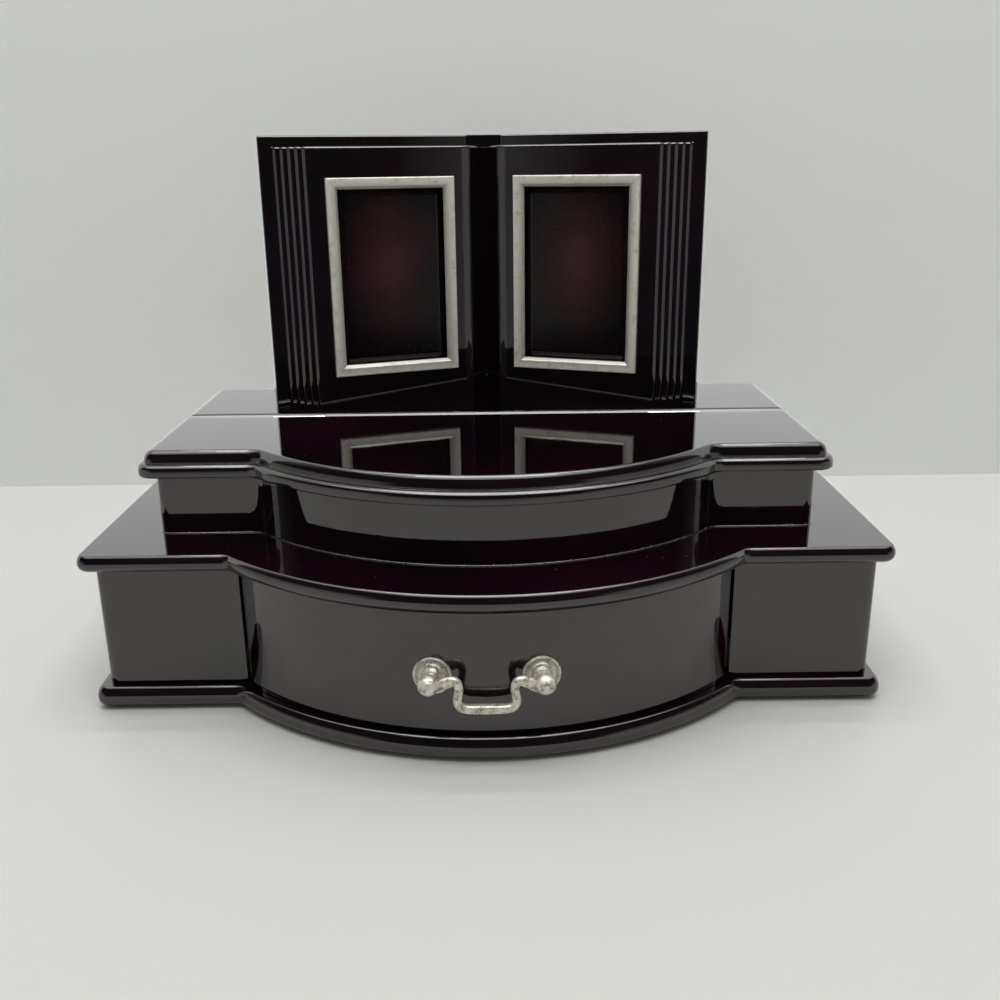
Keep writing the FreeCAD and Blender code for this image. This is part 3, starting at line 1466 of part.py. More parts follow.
# Stop wire: it stands under the lid, steps back through the partition and drops through the
# deck to the fan.
upper_leg = rod(
    "wire_upper_leg", "z", "wire_radius", ("fan_x", "wire_front", "wire_jog"), "wire_top - wire_jog")
wire_run = rod(
    "wire_run", "y", "wire_radius", ("fan_x", "wire_front", "wire_jog"), "fan_middle - wire_front")
lower_leg = rod(
    "wire_lower_leg", "z", "wire_radius", ("fan_x", "fan_middle", "wire_low"), "wire_jog - wire_low")
bends = [
    ball("wire_front_bend", "wire_radius", ("fan_x", "wire_front", "wire_jog")),
    ball("wire_rear_bend", "wire_radius", ("fan_x", "fan_middle", "wire_jog")),
]
piece("stop_wire", fuse("stop_wire", upper_leg, wire_run, lower_leg, *bends))

doc.recompute()
for item in doc.Objects:
    if {"Invalid", "Error"} & set(item.State):
        raise RuntimeError(f"{item.Label} failed: {item.State}")
for item in pieces:
    if item.Shape.isNull() or not item.Shape.isValid() or not item.Shape.Solids:
        raise RuntimeError(f"{item.Label} has no valid solid")

os.makedirs("parts", exist_ok=True)
for item in pieces:
    item.Shape.exportStep(f"parts/{item.Label}.step")
print(f"{len(pieces)} pieces written")
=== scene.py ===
import bmesh
import bpy
import json
import math
from mathutils import Matrix, Vector, geometry


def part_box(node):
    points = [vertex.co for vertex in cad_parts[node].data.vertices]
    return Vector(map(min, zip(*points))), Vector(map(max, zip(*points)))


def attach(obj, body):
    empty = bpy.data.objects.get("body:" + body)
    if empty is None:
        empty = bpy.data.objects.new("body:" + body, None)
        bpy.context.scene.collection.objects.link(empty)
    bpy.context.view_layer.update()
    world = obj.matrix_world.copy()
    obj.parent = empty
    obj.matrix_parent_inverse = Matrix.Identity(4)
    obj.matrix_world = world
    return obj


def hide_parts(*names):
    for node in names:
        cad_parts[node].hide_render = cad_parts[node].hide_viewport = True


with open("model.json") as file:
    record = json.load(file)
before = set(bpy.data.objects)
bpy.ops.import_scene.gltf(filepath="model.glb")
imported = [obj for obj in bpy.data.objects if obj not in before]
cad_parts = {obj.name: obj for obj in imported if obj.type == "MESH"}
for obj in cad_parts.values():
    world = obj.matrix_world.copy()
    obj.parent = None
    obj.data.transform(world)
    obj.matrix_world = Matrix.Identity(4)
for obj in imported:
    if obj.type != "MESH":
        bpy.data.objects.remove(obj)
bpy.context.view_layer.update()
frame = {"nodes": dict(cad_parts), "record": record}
nodes = frame["nodes"]
print("frame:", len(nodes), "nodes")


# shader helpers: a source is the output of another node, or a plain value
def feed(tree, socket, source):
    if isinstance(source, bpy.types.NodeSocket):
        tree.links.new(source, socket)
    else:
        socket.default_value = source


def addNode(tree, kind, sources=None, **settings):
    made = tree.nodes.new(kind)
    for name, value in settings.items():
        setattr(made, name, value)
    for name, source in (sources or {}).items():
        feed(tree, made.inputs[name], source)
    return made


def wire(tree, shader, **sources):
    for name, source in sources.items():
        feed(tree, shader.inputs[name.replace("_", " ")], source)


def newMaterial(name, **fixed):
    material = bpy.data.materials.new(name)
    material.use_nodes = True
    tree = material.node_tree
    tree.nodes.clear()
    shader = addNode(tree, "ShaderNodeBsdfPrincipled")
    output = addNode(tree, "ShaderNodeOutputMaterial")
    tree.links.new(shader.outputs["BSDF"], output.inputs["Surface"])
    wire(tree, shader, **fixed)
    return material, tree, shader


def objectPlace(tree, stretch=(1, 1, 1), turn=(0, 0, 0)):
    coords = addNode(tree, "ShaderNodeTexCoord")
    mapping = addNode(tree, "ShaderNodeMapping", {
        "Vector": coords.outputs["Object"], "Scale": stretch, "Rotation": turn})
    return mapping.outputs["Vector"]


def noise(tree, cells, detail=3.0, roughness=0.5, stretch=(1, 1, 1), turn=(0, 0, 0)):
    # so many cells in a metre
    made = addNode(tree, "ShaderNodeTexNoise", {
        "Vector": objectPlace(tree, stretch, turn), "Scale": cells, "Detail": detail, "Roughness": roughness})
    return made.outputs["Fac"]


def ramp(tree, factor, *stops):
    made = addNode(tree, "ShaderNodeValToRGB", {"Fac": factor})
    points = made.color_ramp.elements
    while len(points) < len(stops):
        points.new(0.5)
    for point, (position, colour) in zip(points, stops):
        point.position = position
        point.color = (*colour, 1)
    return made.outputs["Color"]


def spread(tree, factor, low, high, fromLow=0.0, fromHigh=1.0):
    made = addNode(tree, "ShaderNodeMapRange", {
        "Value": factor, "From Min": fromLow, "From Max": fromHigh, "To Min": low, "To Max": high})
    return made.outputs["Result"]


def calc(tree, operation, *sources):
    made = addNode(tree, "ShaderNodeMath", dict(enumerate(sources)), operation=operation)
    return made.outputs["Value"]


def weigh(tree, first, second, share):
    # the first counts for its share, the second for the rest
    return calc(tree, "ADD", calc(tree, "MULTIPLY", first, share), calc(tree, "MULTIPLY", second, 1 - share))


def mixColour(tree, factor, first, second, blend="MIX"):
    first, second = (
        colour if isinstance(colour, bpy.types.NodeSocket) else (*colour, 1) for colour in (first, second))
    made = addNode(
        tree, "ShaderNodeMix", {0: factor, 6: first, 7: second}, data_type="RGBA", blend_type=blend)
    return made.outputs[2]


def bump(tree, height, strength, distance):
    made = addNode(tree, "ShaderNodeBump", {
        "Height": height, "Strength": strength, "Distance": distance})
    return made.outputs["Normal"]


# in the looks, a ramp has places with colours, a range has what comes out and then what goes in,
# and a bump has a strength and a depth

# high-gloss burgundy lacquer
lacquerLook = {
    "ior": 1.8,
    "tone": {"cells": 14, "detail": 4},
    "stain": ((0.35, (0.0026, 0.0010, 0.0020)), (0.7, (0.0100, 0.0018, 0.0046))),
    "dust": (0.42, 0.40, 0.38),
    "dustCells": 210.0,     # in a metre
    "dustReach": 0.045,     # radius of a speck, in cells
    "dustShare": (0.04, 0.22, 0.2, 0.9),    # cells that hold a speck, from a side to a top
    "dustFaint": (0.15, 0.8),
    "dustRough": 0.6,
    "wiped": {"cells": 22, "detail": 5, "roughness": 0.6, "stretch": (1, 1, 3), "turn": (0.3, 0.2, 0.5)},
    "smudge": (0.03, 0.11, 0.55, 0.85),     # roughness of a clean and of a smudged patch
    "hair": {"cells": 3, "detail": 2, "stretch": (3, 260, 40), "turn": (0.1, 0.3, 0.4)},
    "scratch": (0.0, 0.10, 0.72, 0.8),      # roughness that a hairline scratch adds
    "peel": {"cells": 320, "detail": 2},
    "peelBump": (0.02, 0.0004),
}


def makeLacquer(look):
    material, tree, shader = newMaterial("burgundyLacquer", IOR=look["ior"])
    tone = ramp(tree, noise(tree, **look["tone"]), *look["stain"])
    # dust lies on what faces up, a few specks stick to the rest
    cells = addNode(tree, "ShaderNodeTexVoronoi", {"Vector": objectPlace(tree), "Scale": look["dustCells"]})
    near = calc(tree, "LESS_THAN", cells.outputs["Distance"], look["dustReach"])
    pick = addNode(tree, "ShaderNodeSeparateColor", {"Color": cells.outputs["Color"]})
    facing = addNode(tree, "ShaderNodeNewGeometry")
    up = addNode(tree, "ShaderNodeSeparateXYZ", {"Vector": facing.outputs["Normal"]})
    share = spread(tree, up.outputs["Z"], *look["dustShare"])
    speck = calc(tree, "MULTIPLY", near, calc(tree, "LESS_THAN", pick.outputs["Red"], share))
    faint = calc(tree, "MULTIPLY", speck, spread(tree, pick.outputs["Green"], *look["dustFaint"]))
    # wiped smudges and hairline scratches
    smudge = spread(tree, noise(tree, **look["wiped"]), *look["smudge"])
    scratch = spread(tree, noise(tree, **look["hair"]), *look["scratch"])
    dusty = calc(tree, "MULTIPLY", faint, look["dustRough"])
    wire(
        tree, shader, Base_Color=mixColour(tree, faint, tone, look["dust"]),
        Roughness=calc(tree, "MAXIMUM", calc(tree, "ADD", smudge, scratch), dusty),
        Normal=bump(tree, noise(tree, **look["peel"]), *look["peelBump"]))
    return material


# the same lacquer over a painted glow that falls to painted shade at the edges, for the picture recesses
panelLook = {
    "ior": 1.45,
    # painted glow in the middle, fading through half to painted shade at the edge
    "paintedGlow": (0.0520, 0.0185, 0.0205),
    "half": (0.0170, 0.0050, 0.0070),
    "edge": (0.0008, 0.0003, 0.0007),
    "stops": (0.05, 0.32, 0.52),    # where these lie, out from the middle
    "middle": (0.54, 0.57, 0.0),    # as shares of the panel
    "cloud": {"cells": 55, "detail": 4, "roughness": 0.6},
    "drift": 0.25,          # how far the cloud moves the stain
    "rough": (0.05, 0.11, 0.3, 0.7),
    "peel": {"cells": 1700, "detail": 2, "roughness": 0.6},
    "peelBump": (0.24, 0.0003),
    # painted glints, where the peel noise rises
    "paintedGlint": (0.0, 0.5, 0.56, 0.74),
}


def makePanelLacquer(look):
    material, tree, shader = newMaterial("paintedLightLacquer", IOR=look["ior"])
    spot = addNode(tree, "ShaderNodeUVMap", uv_map="panelMap")
    away = addNode(
        tree, "ShaderNodeVectorMath", {0: spot.outputs["UV"], 1: look["middle"]}, operation="DISTANCE")
    cloud = noise(tree, **look["cloud"])
    drift = calc(tree, "MULTIPLY", calc(tree, "SUBTRACT", cloud, 0.5), look["drift"])
    shade = calc(tree, "ADD", away.outputs["Value"], drift)
    # a painted glow in the middle, darkening to painted shade towards the panel's edges
    stain = ramp(tree, shade, *zip(look["stops"], (look["paintedGlow"], look["half"], look["edge"])))
    peel = noise(tree, **look["peel"])
    # painted glints of the glow colour, added to the colour
    paintedGlint = spread(tree, peel, *look["paintedGlint"])
    wire(
        tree, shader, Base_Color=mixColour(tree, paintedGlint, stain, look["paintedGlow"], "ADD"),
        Roughness=spread(tree, cloud, *look["rough"]), Normal=bump(tree, peel, *look["peelBump"]))
    return material


# antiqued pewter plate, matt from handling
pewterLook = {
    "metal": 0.55,
    "blotch": {"cells": 480, "detail": 5, "roughness": 0.6},    # cloudy tarnish
    "grain": {"cells": 2000, "detail": 3, "roughness": 0.6},    # cast grain
    "blotchShare": 0.6,
    "tarnish": ((0.39, (0.24, 0.21, 0.155)), (0.48, (0.68, 0.645, 0.565)), (0.58, (0.84, 0.80, 0.71))),
    "grime": (0.085, 0.070, 0.045),
    "hollow": (0.9, 0.0, 0.44, 0.505),      # grime, by how hollow a place is
    "patch": (0.4, 1.0, 0.3, 0.6),          # and by its tarnish
    "rough": (0.6, 0.36, 0.35, 0.65),
    "grainBump": (0.35, 0.00012),
}
# the picture frames are paler and more even
framePewterLook = {
    **pewterLook,
    "metal": 0.30,
    "blotch": {"cells": 240, "detail": 5, "roughness": 0.6},
    "grain": {"cells": 4200, "detail": 3, "roughness": 0.6},
    "tarnish": ((0.34, (0.50, 0.47, 0.39)), (0.45, (0.84, 0.81, 0.73)), (0.60, (0.93, 0.90, 0.82))),
}


def makePewter(name, look):
    material, tree, shader = newMaterial(name, Metallic=look["metal"])
    blotch = noise(tree, **look["blotch"])
    grain = noise(tree, **look["grain"])
    mottle = weigh(tree, blotch, grain, look["blotchShare"])
    hollow = addNode(tree, "ShaderNodeNewGeometry").outputs["Pointiness"]
    dirt = calc(tree, "MULTIPLY", spread(tree, hollow, *look["hollow"]), spread(tree, blotch, *look["patch"]))
    wire(
        tree, shader, Base_Color=mixColour(tree, dirt, ramp(tree, mottle, *look["tarnish"]), look["grime"]),
        Roughness=spread(tree, mottle, *look["rough"]), Normal=bump(tree, grain, *look["grainBump"]))
    return material


# brass and steel, finely brushed, and the silvering of the mirror
brushLook = {
    "stain": {"cells": 160, "detail": 4},
    "brush": {"cells": 90, "detail": 2, "stretch": (1, 30, 30)},
    "brushBump": (0.15, 0.0001),
}
brassLook = {
    **brushLook,
    "tone": ((0.35, (0.50, 0.33, 0.13)), (0.6, (0.78, 0.56, 0.24))),
    "rough": (0.38, 0.18, 0.35, 0.65),
}
steelLook = {
    **brushLook,
    "tone": ((0.35, (0.38, 0.38, 0.40)), (0.6, (0.64, 0.64, 0.66))),
    "rough": (0.34, 0.16, 0.35, 0.65),
}
mirrorLook = {
    "stain": {"cells": 40, "detail": 4},
    "tone": ((0.3, (0.80, 0.83, 0.82)), (0.7, (0.90, 0.91, 0.91))),
    "rough": (0.015, 0.05, 0.5, 0.8),
}


def makeMetal(name, look):
    material, tree, shader = newMaterial(name, Metallic=1.0)
    stain = noise(tree, **look["stain"])
    wire(
        tree, shader, Base_Color=ramp(tree, stain, *look["tone"]),
        Roughness=spread(tree, stain, *look["rough"]))
    if "brush" in look:
        wire(tree, shader, Normal=bump(tree, noise(tree, **look["brush"]), *look["brushBump"]))
    return material


# plain wood inside the case, its grain lying along the boards
woodLook = {
    "sway": {"cells": 18, "detail": 2},
    "streak": {"cells": 190, "detail": 5, "roughness": 0.62, "stretch": (0.045, 0.045, 1.0)},
    "streakShare": 0.75,
    "tone": ((0.36, (0.31, 0.18, 0.09)), (0.62, (0.50, 0.335, 0.195))),
    "pores": {"cells": 1300, "detail": 2, "stretch": (0.08, 0.08, 1.0)},
    "pore": (0.20, 0.11, 0.05),
    "opened": (0.0, 0.5, 0.60, 0.72),
    "poreBump": (0.25, 0.0003),
    "rough": (0.62, 0.45),
}


def makeWood(look):
    material, tree, shader = newMaterial("plainWood")
    tone = weigh(tree, noise(tree, **look["streak"]), noise(tree, **look["sway"]), look["streakShare"])
    pores = noise(tree, **look["pores"])
    opened = spread(tree, pores, *look["opened"])
    wire(
        tree, shader, Base_Color=mixColour(tree, opened, ramp(tree, tone, *look["tone"]), look["pore"]),
        Roughness=spread(tree, tone, *look["rough"]), Normal=bump(tree, pores, *look["poreBump"]))
    return material


# velvet and felt
napLook = {
    "stroke": {"cells": 60, "detail": 4, "stretch": (1, 1.8, 1), "turn": (0, 0, 0.6)},
    "strokeShare": 0.6,
    "stops": (0.35, 0.65),
    "rough": 0.95,
    "sheenRough": 0.35,
    "pileBump": (0.6, 0.0004),
}
velvetLook = {
    **napLook,
    "deep": (0.085, 0.004, 0.010),
    "crest": (0.20, 0.012, 0.026),
    "sheen": 0.55,
    "pile": {"cells": 2600, "detail": 2},
}
feltLook = {
    **napLook,
    "deep": (0.010, 0.010, 0.010),
    "crest": (0.040, 0.038, 0.037),
    "sheen": 0.2,
    "pile": {"cells": 1700, "detail": 2},
}


def makeCloth(name, look):
    material, tree, shader = newMaterial(
        name, Roughness=look["rough"], Sheen_Weight=look["sheen"], Sheen_Roughness=look["sheenRough"],
        Sheen_Tint=(*look["crest"], 1))
    pile = noise(tree, **look["pile"])
    lay = weigh(tree, noise(tree, **look["stroke"]), pile, look["strokeShare"])
    wire(
        tree, shader, Base_Color=ramp(tree, lay, *zip(look["stops"], (look["deep"], look["crest"]))),
        Normal=bump(tree, pile, *look["pileBump"]))
    return material


lacquer = makeLacquer(lacquerLook)
pewter = makePewter("antiquePewter", pewterLook)
framePewter = makePewter("palePewter", framePewterLook)
brass = makeMetal("agedBrass", brassLook)
steel = makeMetal("brightSteel", steelLook)
mirror = makeMetal("silveredGlass", mirrorLook)
plainWood = makeWood(woodLook)
velvet = makeCloth("burgundyVelvet", velvetLook)
felt = makeCloth("blackFelt", feltLook)
print("materials made")

# every CAD node takes the finish of its slot
finishes = {
    "lacquer": lacquer, "bare_wood": plainWood, "pewter": pewter, "brass": brass, "steel": steel,
    "velvet": velvet, "felt": felt, "mirror": mirror,
}
slotOf = {part["node"]: part["material_slot"] for part in frame["record"]["subparts"]}
for name, item in nodes.items():
    item.data.materials.clear()
    item.data.materials.append(finishes[slotOf[name]])
for name in ("left_picture_frame", "right_picture_frame"):
    nodes[name].data.materials[0] = framePewter
print("finishes set")


# mesh helpers, sizes in millimetres
def addPiece(name, points, faces, body, slot, *stands):
    mesh = bpy.data.meshes.new(name)
    mesh.from_pydata([Vector(point) / 1000 for point in points], [], faces)
    shape = bmesh.new()
    shape.from_mesh(mesh)
    bmesh.ops.remove_doubles(shape, verts=shape.verts, dist=1e-6)
    bmesh.ops.recalc_face_normals(shape, faces=shape.faces)
    shape.to_mesh(mesh)
    shape.free()
    piece = bpy.data.objects.new(name, mesh)
    bpy.context.scene.collection.objects.link(piece)
    return dress(piece, body, slot, *stands)


def dress(piece, body, slot, *stands):
    piece.data.materials.clear()
    piece.data.materials.append(finishes[slot])
    piece.data.shade_smooth()
    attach(piece, body)
    if stands:
        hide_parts(*stands)
    return piece


def boxOf(node):
    return (corner * 1000 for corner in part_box(node))


def tubeFaces(rings, around, start=0):
    faces = []
    for ring in range(rings - 1):
        for step in range(around):
            near = start + ring * around
            far = near + around
            after = (step + 1) % around
            faces.append((near + step, near + after, far + after, far + step))
    return faces


def endFaces(rings, around, start=0):
    # the two ends that close a tube
    last = start + (rings - 1) * around
    return [list(range(start, start + around)), list(range(last, last + around))]


def lathe(profile, place, steps=64):
    points = []
    for radius, height in profile:
        for step in range(steps):
            turn = 2 * math.pi * step / steps
            points.append(place @ Vector((radius * math.cos(turn), radius * math.sin(turn), height)))
    return points, tubeFaces(len(profile), steps)


def smoothLine(stops, steps):
    # a curve through the stops, each a tuple of numbers
    ends = [stops[0], *stops, stops[-1]]
    line = []
    for first, second, third, fourth in zip(ends, ends[1:], ends[2:], ends[3:]):
        for step in range(steps):
            t = step / steps
            line.append(tuple(0.5 * (
                2 * b + (c - a) * t + (2 * a - 5 * b + 4 * c - d) * t * t
                + (3 * b - a - 3 * c + d) * t ** 3) for a, b, c, d in zip(first, second, third, fourth)))
    return line + [tuple(stops[-1])]


# bow-fronted boards: an edge profile carried round the board's outline
boardSizes = {
    "plinth_board": {
        "name": "plinthBoard", "body": "case", "half": 149.5, "front": -70.5, "apex": -110.5,
        "radius": 131.5, "cove": 4.0, "corner": 5.0, "rear": 70.5, "low": 1.0, "high": 9.0, "edge": 3.0,
        "face": 7.0, "lip": 0.9, "lipTurn": 40.0},
    "deck_board": {
        "name": "deckBoard", "body": "case", "half": 150.0, "front": -71.0, "apex": -111.0,
        "radius": 132.0, "cove": 4.0, "corner": 5.0, "rear": 71.0, "low": 56.0, "high": 62.5, "edge": 3.0,
        "face": 4.6, "lip": 0.9, "lipTurn": 40.0},
    "lid_board": {
        "name": "lidBoard", "body": "lid", "half": 132.3, "front": -48.3, "apex": -86.3,
        "radius": 119.5, "cove": 6.0, "corner": 7.2, "rear": 10.8, "low": 85.0, "step": 90.0, "high": 95.0,
        "stepEdge": 2.1, "stepFoot": 0.9, "ledge": 2.5, "face": 6.12, "lip": 1.3, "lipTurn": 40.0,
        "seam": 3.0, "sideRound": 4.4},
}
boardSteps = {
    "seam": 10,             # rows that round over at the seam
    "side": 5,              # rows in front of them
    "sidePitch": 6.0,
    "rear": 8,
    "corner": 10,
    "cove": 10,
    "bow": 180,
    "edge": 10,
    "flat": 0.5,            # strip beside the edge that keeps the flat flat
    "crease": 0.05,         # at the foot of the upper step
    "riser": 0.3,
    "leastCorner": 0.3,
}


def turnsOf(start, end, steps):
    return [math.radians(start + (end - start) * step / steps) for step in range(steps + 1)]


def arcLine(centre, radius, start, end, steps):
    x, y = centre
    turns = turnsOf(start, end, steps)
    return [Vector((x + radius * math.cos(turn), y + radius * math.sin(turn))) for turn in turns]


def bowPath(sizes, inset, sideInset):
    # from the back left corner round the front to the back right
    half = sizes["half"] - sideInset
    front = sizes["front"] + inset
    radius = sizes["radius"] - inset
    cove = sizes["cove"] + inset
    corner = max(boardSteps["leastCorner"], sizes["corner"] - inset)
    middle = sizes["apex"] + sizes["radius"]
    drop = middle - front + cove
    coveX = math.sqrt((radius + cove) ** 2 - drop ** 2)
    meet = math.degrees(math.atan2(drop, coveX))
    if "seam" in sizes:
        rows, seam, rear = boardSteps["seam"], sizes["seam"], sizes["rear"]
        places = [rear - seam * step / rows for step in range(rows)]
        places += [rear - seam - boardSteps["sidePitch"] * step for step in range(boardSteps["side"])]
        left = [Vector((-half, place)) for place in places]
        right = [Vector((half, place)) for place in reversed(places)]
    else:
        rear = sizes["rear"] - inset
        left = arcLine((-half + corner, rear - corner), corner, 90, 180, boardSteps["rear"])
        right = arcLine((half - corner, rear - corner), corner, 0, 90, boardSteps["rear"])
    line = left + arcLine((-half + corner, front + corner), corner, 180, 270, boardSteps["corner"])
    line += arcLine((-coveX, front - cove), cove, 90, meet, boardSteps["cove"])
    line += arcLine((0, middle), radius, 180 + meet, 360 - meet, boardSteps["bow"])[1:-1]
    line += arcLine((coveX, front - cove), cove, 180 - meet, 90, boardSteps["cove"])
    line += arcLine((half - corner, front + corner), corner, 270, 360, boardSteps["corner"])
    return line + right


def roundEdge(radius, inset, height, start, end):
    # part of a round, as places inwards and up; the middle of the round is given
    turns = turnsOf(start, end, boardSteps["edge"])
    return [(inset - radius * math.cos(turn), height + radius * math.sin(turn)) for turn in turns]


def boardProfile(sizes):
    low, high = sizes["low"], sizes["high"]
    face, lip, turn = sizes["face"], sizes["lip"], sizes["lipTurn"]
    ledge = sizes.get("ledge", 0.0)
    flat, crease = boardSteps["flat"], boardSteps["crease"]
    # a slow round up the face and a tight one at the lip
    start = high - lip - (face - lip) * math.sin(math.radians(turn))
    lipInset = ledge + face - (face - lip) * math.cos(math.radians(turn))
    upper = [
        *roundEdge(face, ledge + face, start, 0, turn), *roundEdge(lip, lipInset, high - lip, turn, 90)[1:],
        (lipInset + flat, high)]
    if "seam" not in sizes:
        edge = sizes["edge"]
        return [(edge + flat, low), *roundEdge(edge, edge, low + edge, -90, 0), *upper]
    edge, step, foot = sizes["stepEdge"], sizes["step"], sizes["stepFoot"]
    return [
        (edge + flat, low), *roundEdge(foot, foot, low + foot, -90, 0),
        *roundEdge(edge, edge, step - edge, 0, 90), (ledge - crease, step), (ledge, step + crease),
        (ledge, step + boardSteps["riser"]), *upper]


def sideInsets(sizes, profile):
    # where the board has a seam, its sides keep the plain round of the board behind it
    insets = [inset for inset, height in profile]
    if "sideRound" not in sizes:
        return insets
    radius = sizes["sideRound"]
    start = sizes["high"] - radius
    for index, (inset, height) in enumerate(profile):
        if height > start:
            over = min(height - start, radius)
            insets[index] = sizes["ledge"] + radius - math.sqrt(radius ** 2 - over ** 2)
    insets[-1] += boardSteps["flat"]
    return insets


def makeBoard(node, sizes):
    profile = boardProfile(sizes)
    sides = sideInsets(sizes, profile)
    rings = [bowPath(sizes, inset, side) for (inset, height), side in zip(profile, sides)]
    count = len(rings[0])
    points = [[spot.x, spot.y, height] for ring, (inset, height) in zip(rings, profile) for spot in ring]
    if "seam" not in sizes:
        faces = tubeFaces(len(rings), count) + endFaces(len(rings), count)
    else:
        # open at the seam, where the flats are laid in rows that can round over
        faces = [face for face in tubeFaces(len(rings), count) if face[0] % count < count - 1]
        rows = boardSteps["seam"]
        left = range(rows)
        right = range(count - 1, count - 1 - rows, -1)
        for start in (0, (len(rings) - 1) * count):
            for first, second, third, fourth in zip(left, left[1:], right[1:], right):
                faces.append((start + first, start + second, start + third, start + fourth))
            faces.append([start + index for index in range(rows - 1, count - rows + 1)])
        ends = [ring * count for ring in range(len(rings))]
        faces.append(ends + [end + count - 1 for end in reversed(ends)])
        # the top edge at the seam is rounded
        seam = sizes["seam"]
        for point in points:
            over = point[1] - (sizes["rear"] - seam)
            if over > 0:
                point[2] = min(point[2], sizes["high"] - seam + math.sqrt(max(0.0, seam ** 2 - over ** 2)))
    addPiece(sizes["name"], points, faces, sizes["body"], "lacquer", node)


for node, sizes in boardSizes.items():
    makeBoard(node, sizes)
print("boards made")

# drawer pull: turned rosettes and ball posts, and a cast bail
pullSizes = {
    "halfSpacing": 18.5,
    "bowRadius": 127.0,
    "bowCentre": 21.0,
    "height": 31.3,
    "reach": 7.4,           # from the drawer front to the pivot
    "rosette": [
        (0, 0.02), (6.75, 0.02), (6.8, 0.15), (6.8, 0.6), (6.72, 0.85), (6.5, 0.98), (6.2, 0.98),
        (6.0, 0.85), (5.85, 0.62), (5.6, 0.55), (5.2, 0.62), (4.75, 0.8), (4.5, 0.98), (4.3, 1.22),
        (4.05, 1.36), (3.8, 1.4), (3.5, 1.55), (3.1, 1.95), (2.7, 2.4), (2.35, 2.62), (0, 2.66)],
    "post": [
        (0, 2.4), (2.3, 2.5), (2.38, 2.75), (2.3, 2.98), (2.02, 3.15), (1.9, 3.5), (1.95, 3.9), (2.2, 4.2)],
    "ball": 3.7,
    "ballStart": 0.62,      # where the ball leaves the neck, as a turn from its pole
    "ballSteps": 22,
}


def makePull(sizes):
    plates = ([], [])
    posts = ([], [])
    lean = math.asin(sizes["halfSpacing"] / sizes["bowRadius"])
    ball = []
    for step in range(sizes["ballSteps"] + 1):
        turn = sizes["ballStart"] + (math.pi - sizes["ballStart"]) * step / sizes["ballSteps"]
        ball.append((sizes["ball"] * math.sin(turn), sizes["reach"] - sizes["ball"] * math.cos(turn)))
    for side in (-1, 1):
        out = Vector((side * math.sin(lean), -math.cos(lean), 0))
        foot = Vector((0, sizes["bowCentre"], sizes["height"])) + out * sizes["bowRadius"]
        place = Matrix.Translation(foot) @ out.to_track_quat("Z", "Y").to_matrix().to_4x4()
        for (points, faces), profile in ((plates, sizes["rosette"]), (posts, sizes["post"] + ball)):
            ringPoints, ringFaces = lathe(profile, place)
            faces += [[len(points) + corner for corner in face] for face in ringFaces]
            points += ringPoints
    addPiece("pullRosettes", *plates, "drawer", "pewter", "handle_rosettes")
    addPiece("pullPosts", *posts, "drawer", "pewter", "handle_posts")


makePull(pullSizes)

# each stop of the bail: across, up from the pivot, half its width, half its depth, how square it is on top
bailSizes = {
    "pivot": (-111.966, 31.3),
    "stops": [
        (17.4, 0.0, 1.0, 1.0, 0.0), (16.2, 0.05, 1.05, 1.0, 0.0), (15.2, 0.2, 1.75, 1.05, 0.1),
        (13.4, 0.7, 1.95, 1.2, 0.2), (11.5, 1.25, 1.8, 1.35, 0.1), (9.9, 0.5, 1.6, 1.45, 0.0),
        (9.35, -1.8, 1.5, 1.45, 0.0), (9.75, -4.4, 1.5, 1.45, 0.0), (9.9, -6.6, 1.55, 1.5, 0.0),
        (8.7, -8.5, 1.6, 1.5, 0.4), (6.2, -9.2, 1.6, 1.5, 0.9), (3.0, -9.3, 1.65, 1.5, 1.0),
        (0.0, -9.35, 1.7, 1.5, 1.0)],
    "ledge": 0.3,           # the flat along the top of the grip
    "ledgeSpread": 2.2,
    "ledgeRise": 0.05,
    "broad": 0.12,          # how much deeper a squared stretch is
    "steps": 7,
    "around": 28,
}


def makeBail(sizes):
    stops = sizes["stops"] + [(-stop[0], *stop[1:]) for stop in sizes["stops"][-2::-1]]
    line = smoothLine(stops, sizes["steps"])
    pivotY, pivotZ = sizes["pivot"]
    points = []
    for index, (across, up, wide, deep, square) in enumerate(line):
        before = Vector(line[max(index - 1, 0)][:2])
        after = Vector(line[min(index + 1, len(line) - 1)][:2])
        along = (after - before).normalized()
        outward = Vector((-along.y, along.x))       # points down along the grip
        for step in range(sizes["around"]):
            turn = 2 * math.pi * step / sizes["around"]
            side = math.cos(turn)
            reach = wide * side
            if side < 0:
                reach -= square * sizes["ledge"] * min(1, sizes["ledgeSpread"] * abs(side))
                reach = max(reach, -wide - square * sizes["ledgeRise"])
            depth = deep * math.sin(turn) * (1 + sizes["broad"] * square * abs(side))
            spot = Vector((across, up)) + outward * reach
            points.append((spot.x, pivotY + depth, pivotZ + spot.y))
    faces = tubeFaces(len(line), sizes["around"]) + endFaces(len(line), sizes["around"])
    addPiece("pullBail", points, faces, "bail", "pewter", "handle_bail")


makeBail(bailSizes)
print("pull made")

# the leaves of the open book, each turned about the middle of the spine
leafSizes = {"angle": 20.0, "centre": 57.0}


def onLeaf(along, deep):
    turn = math.radians(leafSizes["angle"])
    return (
        along * math.cos(turn) + deep * math.sin(turn),
        leafSizes["centre"] - along * math.sin(turn) + deep * math.cos(turn))


# panel in each picture recess, with painted glow and painted shade
panelSizes = {
    "along": (21.9, 67.7),
    "up": (113.6, 186.6),
    "floor": -6.5,
    "thick": 0.5,
    "bow": 0.25,            # how far the panel bulges
    "cells": (16, 24),
}


